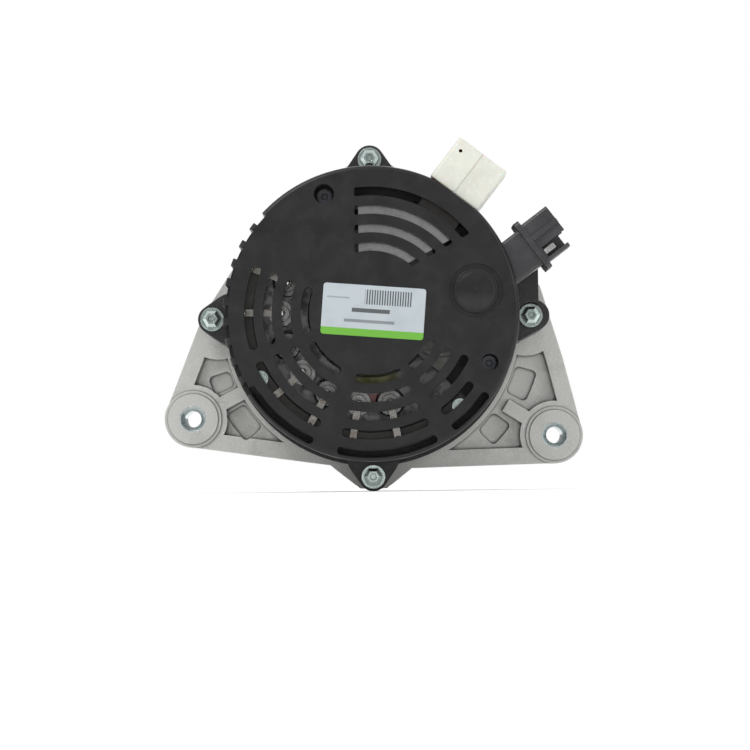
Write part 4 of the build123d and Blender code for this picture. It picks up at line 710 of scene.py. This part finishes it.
def shaft_thread():
    """The thread that shows beyond the pulley nut."""
    nut_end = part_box("pulley_nut")[1].y
    shaft_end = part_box("rotor_shaft")[1].y
    tip = [v.co for v in frame["nodes"]["rotor_shaft"].data.vertices if v.co.y > nut_end]
    tip_r = max(Vector((at.x, at.z)).length for at in tip)
    span = (nut_end + SHAFT_RUN_IN, shaft_end - SHAFT_RUN_OUT)
    thread("shaft_thread", SHAFT_AXIS, Vector(), tip_r, span, SHAFT_PITCH, "shaft_steel", "rotor")


def stud_thread():
    """The thread on the battery stud, from its nut to its chamfered end."""
    axis = Vector(joint_named("terminal_cap_pull")["axis"])
    points = [v.co for v in frame["nodes"]["terminal_stud"].data.vertices]
    tip = max(at.dot(axis) for at in points)
    end_face = [at for at in points if at.dot(axis) > tip - 0.01 * MM]
    centre = sum(end_face, Vector()) / len(end_face)
    radius = max((at - centre).length for at in end_face) + STUD_CHAMFER
    nut_out = max(v.co.dot(axis) for v in frame["nodes"]["terminal_nut"].data.vertices)
    span = (nut_out + STUD_RUN_IN, tip - STUD_RUN_OUT)
    thread("stud_thread", axis, centre - axis * tip, radius, span, STUD_PITCH, "zinc_steel", "housing")


stator_coils()
for side in ("outer", "inner"):
    brush_spring(side)
solder_beads()
plug_dome()
shaft_thread()
stud_thread()

# ------------------------------------------------------------------ studio
low, high = cad_box
FLOOR_COLOUR = (0.93, 0.93, 0.92)
FLOOR_GLOW = 0.2
FLOOR_FAR_GLOW = 0.7
FLOOR_NEAR, FLOOR_FAR = 0.25, 1.6
FLOOR_HALF, FLOOR_SQUARES = 6.0, 8
WORLD_LOW, WORLD_HIGH, WORLD_SEEN = 0.14, 0.85, 1.0
SKY_LOW, SKY_HIGH = -0.15, 0.65
LIGHTS = {
    "key": ((-0.7, -1.0, 1.2), (0.5, 0.5), 8.5),
    "fill": ((1.1, -0.9, 0.4), (0.6, 0.6), 2),
    "rim": ((0.2, 1.2, 0.9), (1.2, 0.8), 5),
}


def floor():
    """Pale, faintly mottled floor that glows with distance, so that it meets the white surround."""
    p = Paint("studio_floor", FLOOR_COLOUR, 0.75, Emission_Color=(1, 1, 1, 1), Emission_Strength=FLOOR_GLOW)
    p.tint((0.90, 0.90, 0.89), p.mask(p.noise(0.2, 3), 0.4, 0.7), 0.5)
    p.bump(0.05 * MM, p.noise(2 * MM, 2))
    distance = p.add("ShaderNodeVectorMath", {0: p.place}, operation="LENGTH").outputs["Value"]
    glow = p.mask(distance, FLOOR_NEAR, FLOOR_FAR)
    glow = p.math("ADD", p.math("MULTIPLY", glow, FLOOR_FAR_GLOW), FLOOR_GLOW)
    p.feed(p.shader.inputs["Emission Strength"], glow)
    mesh = bpy.data.meshes.new("studio_floor")
    bm = bmesh.new()
    bmesh.ops.create_grid(bm, x_segments=FLOOR_SQUARES, y_segments=FLOOR_SQUARES, size=FLOOR_HALF)
    bmesh.ops.translate(bm, verts=bm.verts, vec=(0, 0, low.z))
    bm.to_mesh(mesh)
    bm.free()
    mesh.materials.append(p.done())
    plane = bpy.data.objects.new("studio_floor", mesh)
    scene.collection.objects.link(plane)


def area_light(name, place, target, size, power):
    data = bpy.data.lights.new(name, "AREA")
    data.shape = "RECTANGLE"
    data.size, data.size_y = size
    data.energy = power
    lamp = bpy.data.objects.new(name, data)
    lamp.location = place
    lamp.rotation_mode = "QUATERNION"
    lamp.rotation_quaternion = (Vector(target) - Vector(place)).to_track_quat("-Z", "Y")
    scene.collection.objects.link(lamp)


def surround():
    """White to the camera; to everything else a sky that darkens towards the floor."""
    world = bpy.data.worlds.new("studio")
    world.use_nodes = True
    nodes = world.node_tree.nodes
    links = world.node_tree.links
    heights = nodes.new("ShaderNodeSeparateXYZ")
    links.new(nodes.new("ShaderNodeTexCoord").outputs["Generated"], heights.inputs[0])
    sky = nodes.new("ShaderNodeMapRange")
    sky.interpolation_type = "SMOOTHSTEP"
    span = {"From Min": SKY_LOW, "From Max": SKY_HIGH, "To Min": WORLD_LOW, "To Max": WORLD_HIGH}
    for key, value in span.items():
        sky.inputs[key].default_value = value
    links.new(heights.outputs["Z"], sky.inputs["Value"])
    strength = nodes.new("ShaderNodeMix")
    links.new(nodes.new("ShaderNodeLightPath").outputs["Is Camera Ray"], strength.inputs[0])
    links.new(sky.outputs[0], strength.inputs[2])
    strength.inputs[3].default_value = WORLD_SEEN
    links.new(strength.outputs[0], nodes["Background"].inputs["Strength"])
    nodes["Background"].inputs["Color"].default_value = (1.0, 1.0, 1.0, 1)
    scene.world = world
    scene.view_settings.view_transform = "Standard"


floor()
for name, (place, size, power) in LIGHTS.items():
    area_light(name, place, (low + high) / 2, size, power)
surround()

CAMERA_PLACE = Vector((0.0034, -1.134, -0.0832))
CAMERA_YAW, CAMERA_PITCH, CAMERA_ROLL = 0.0019, 0.0528, 0.0126
CAMERA_LENS, CAMERA_SENSOR = 99.2, 36.0
CAMERA_CLIP = 0.01


def camera():
    data = bpy.data.cameras.new("camera")
    data.sensor_width, data.lens = CAMERA_SENSOR, CAMERA_LENS
    data.clip_start = CAMERA_CLIP
    right = Vector((math.cos(CAMERA_YAW), math.sin(CAMERA_YAW), 0))
    ahead = Vector(
        (
            -math.sin(CAMERA_YAW) * math.cos(CAMERA_PITCH),
            math.cos(CAMERA_YAW) * math.cos(CAMERA_PITCH),
            math.sin(CAMERA_PITCH),
        )
    )
    up = right.cross(ahead)
    side = right * math.cos(CAMERA_ROLL) - up * math.sin(CAMERA_ROLL)
    top = right * math.sin(CAMERA_ROLL) + up * math.cos(CAMERA_ROLL)
    turn = Matrix((side, top, -ahead)).transposed().to_4x4()
    eye = bpy.data.objects.new("camera", data)
    eye.matrix_world = Matrix.Translation(CAMERA_PLACE) @ turn
    scene.collection.objects.link(eye)
    scene.camera = eye


camera()
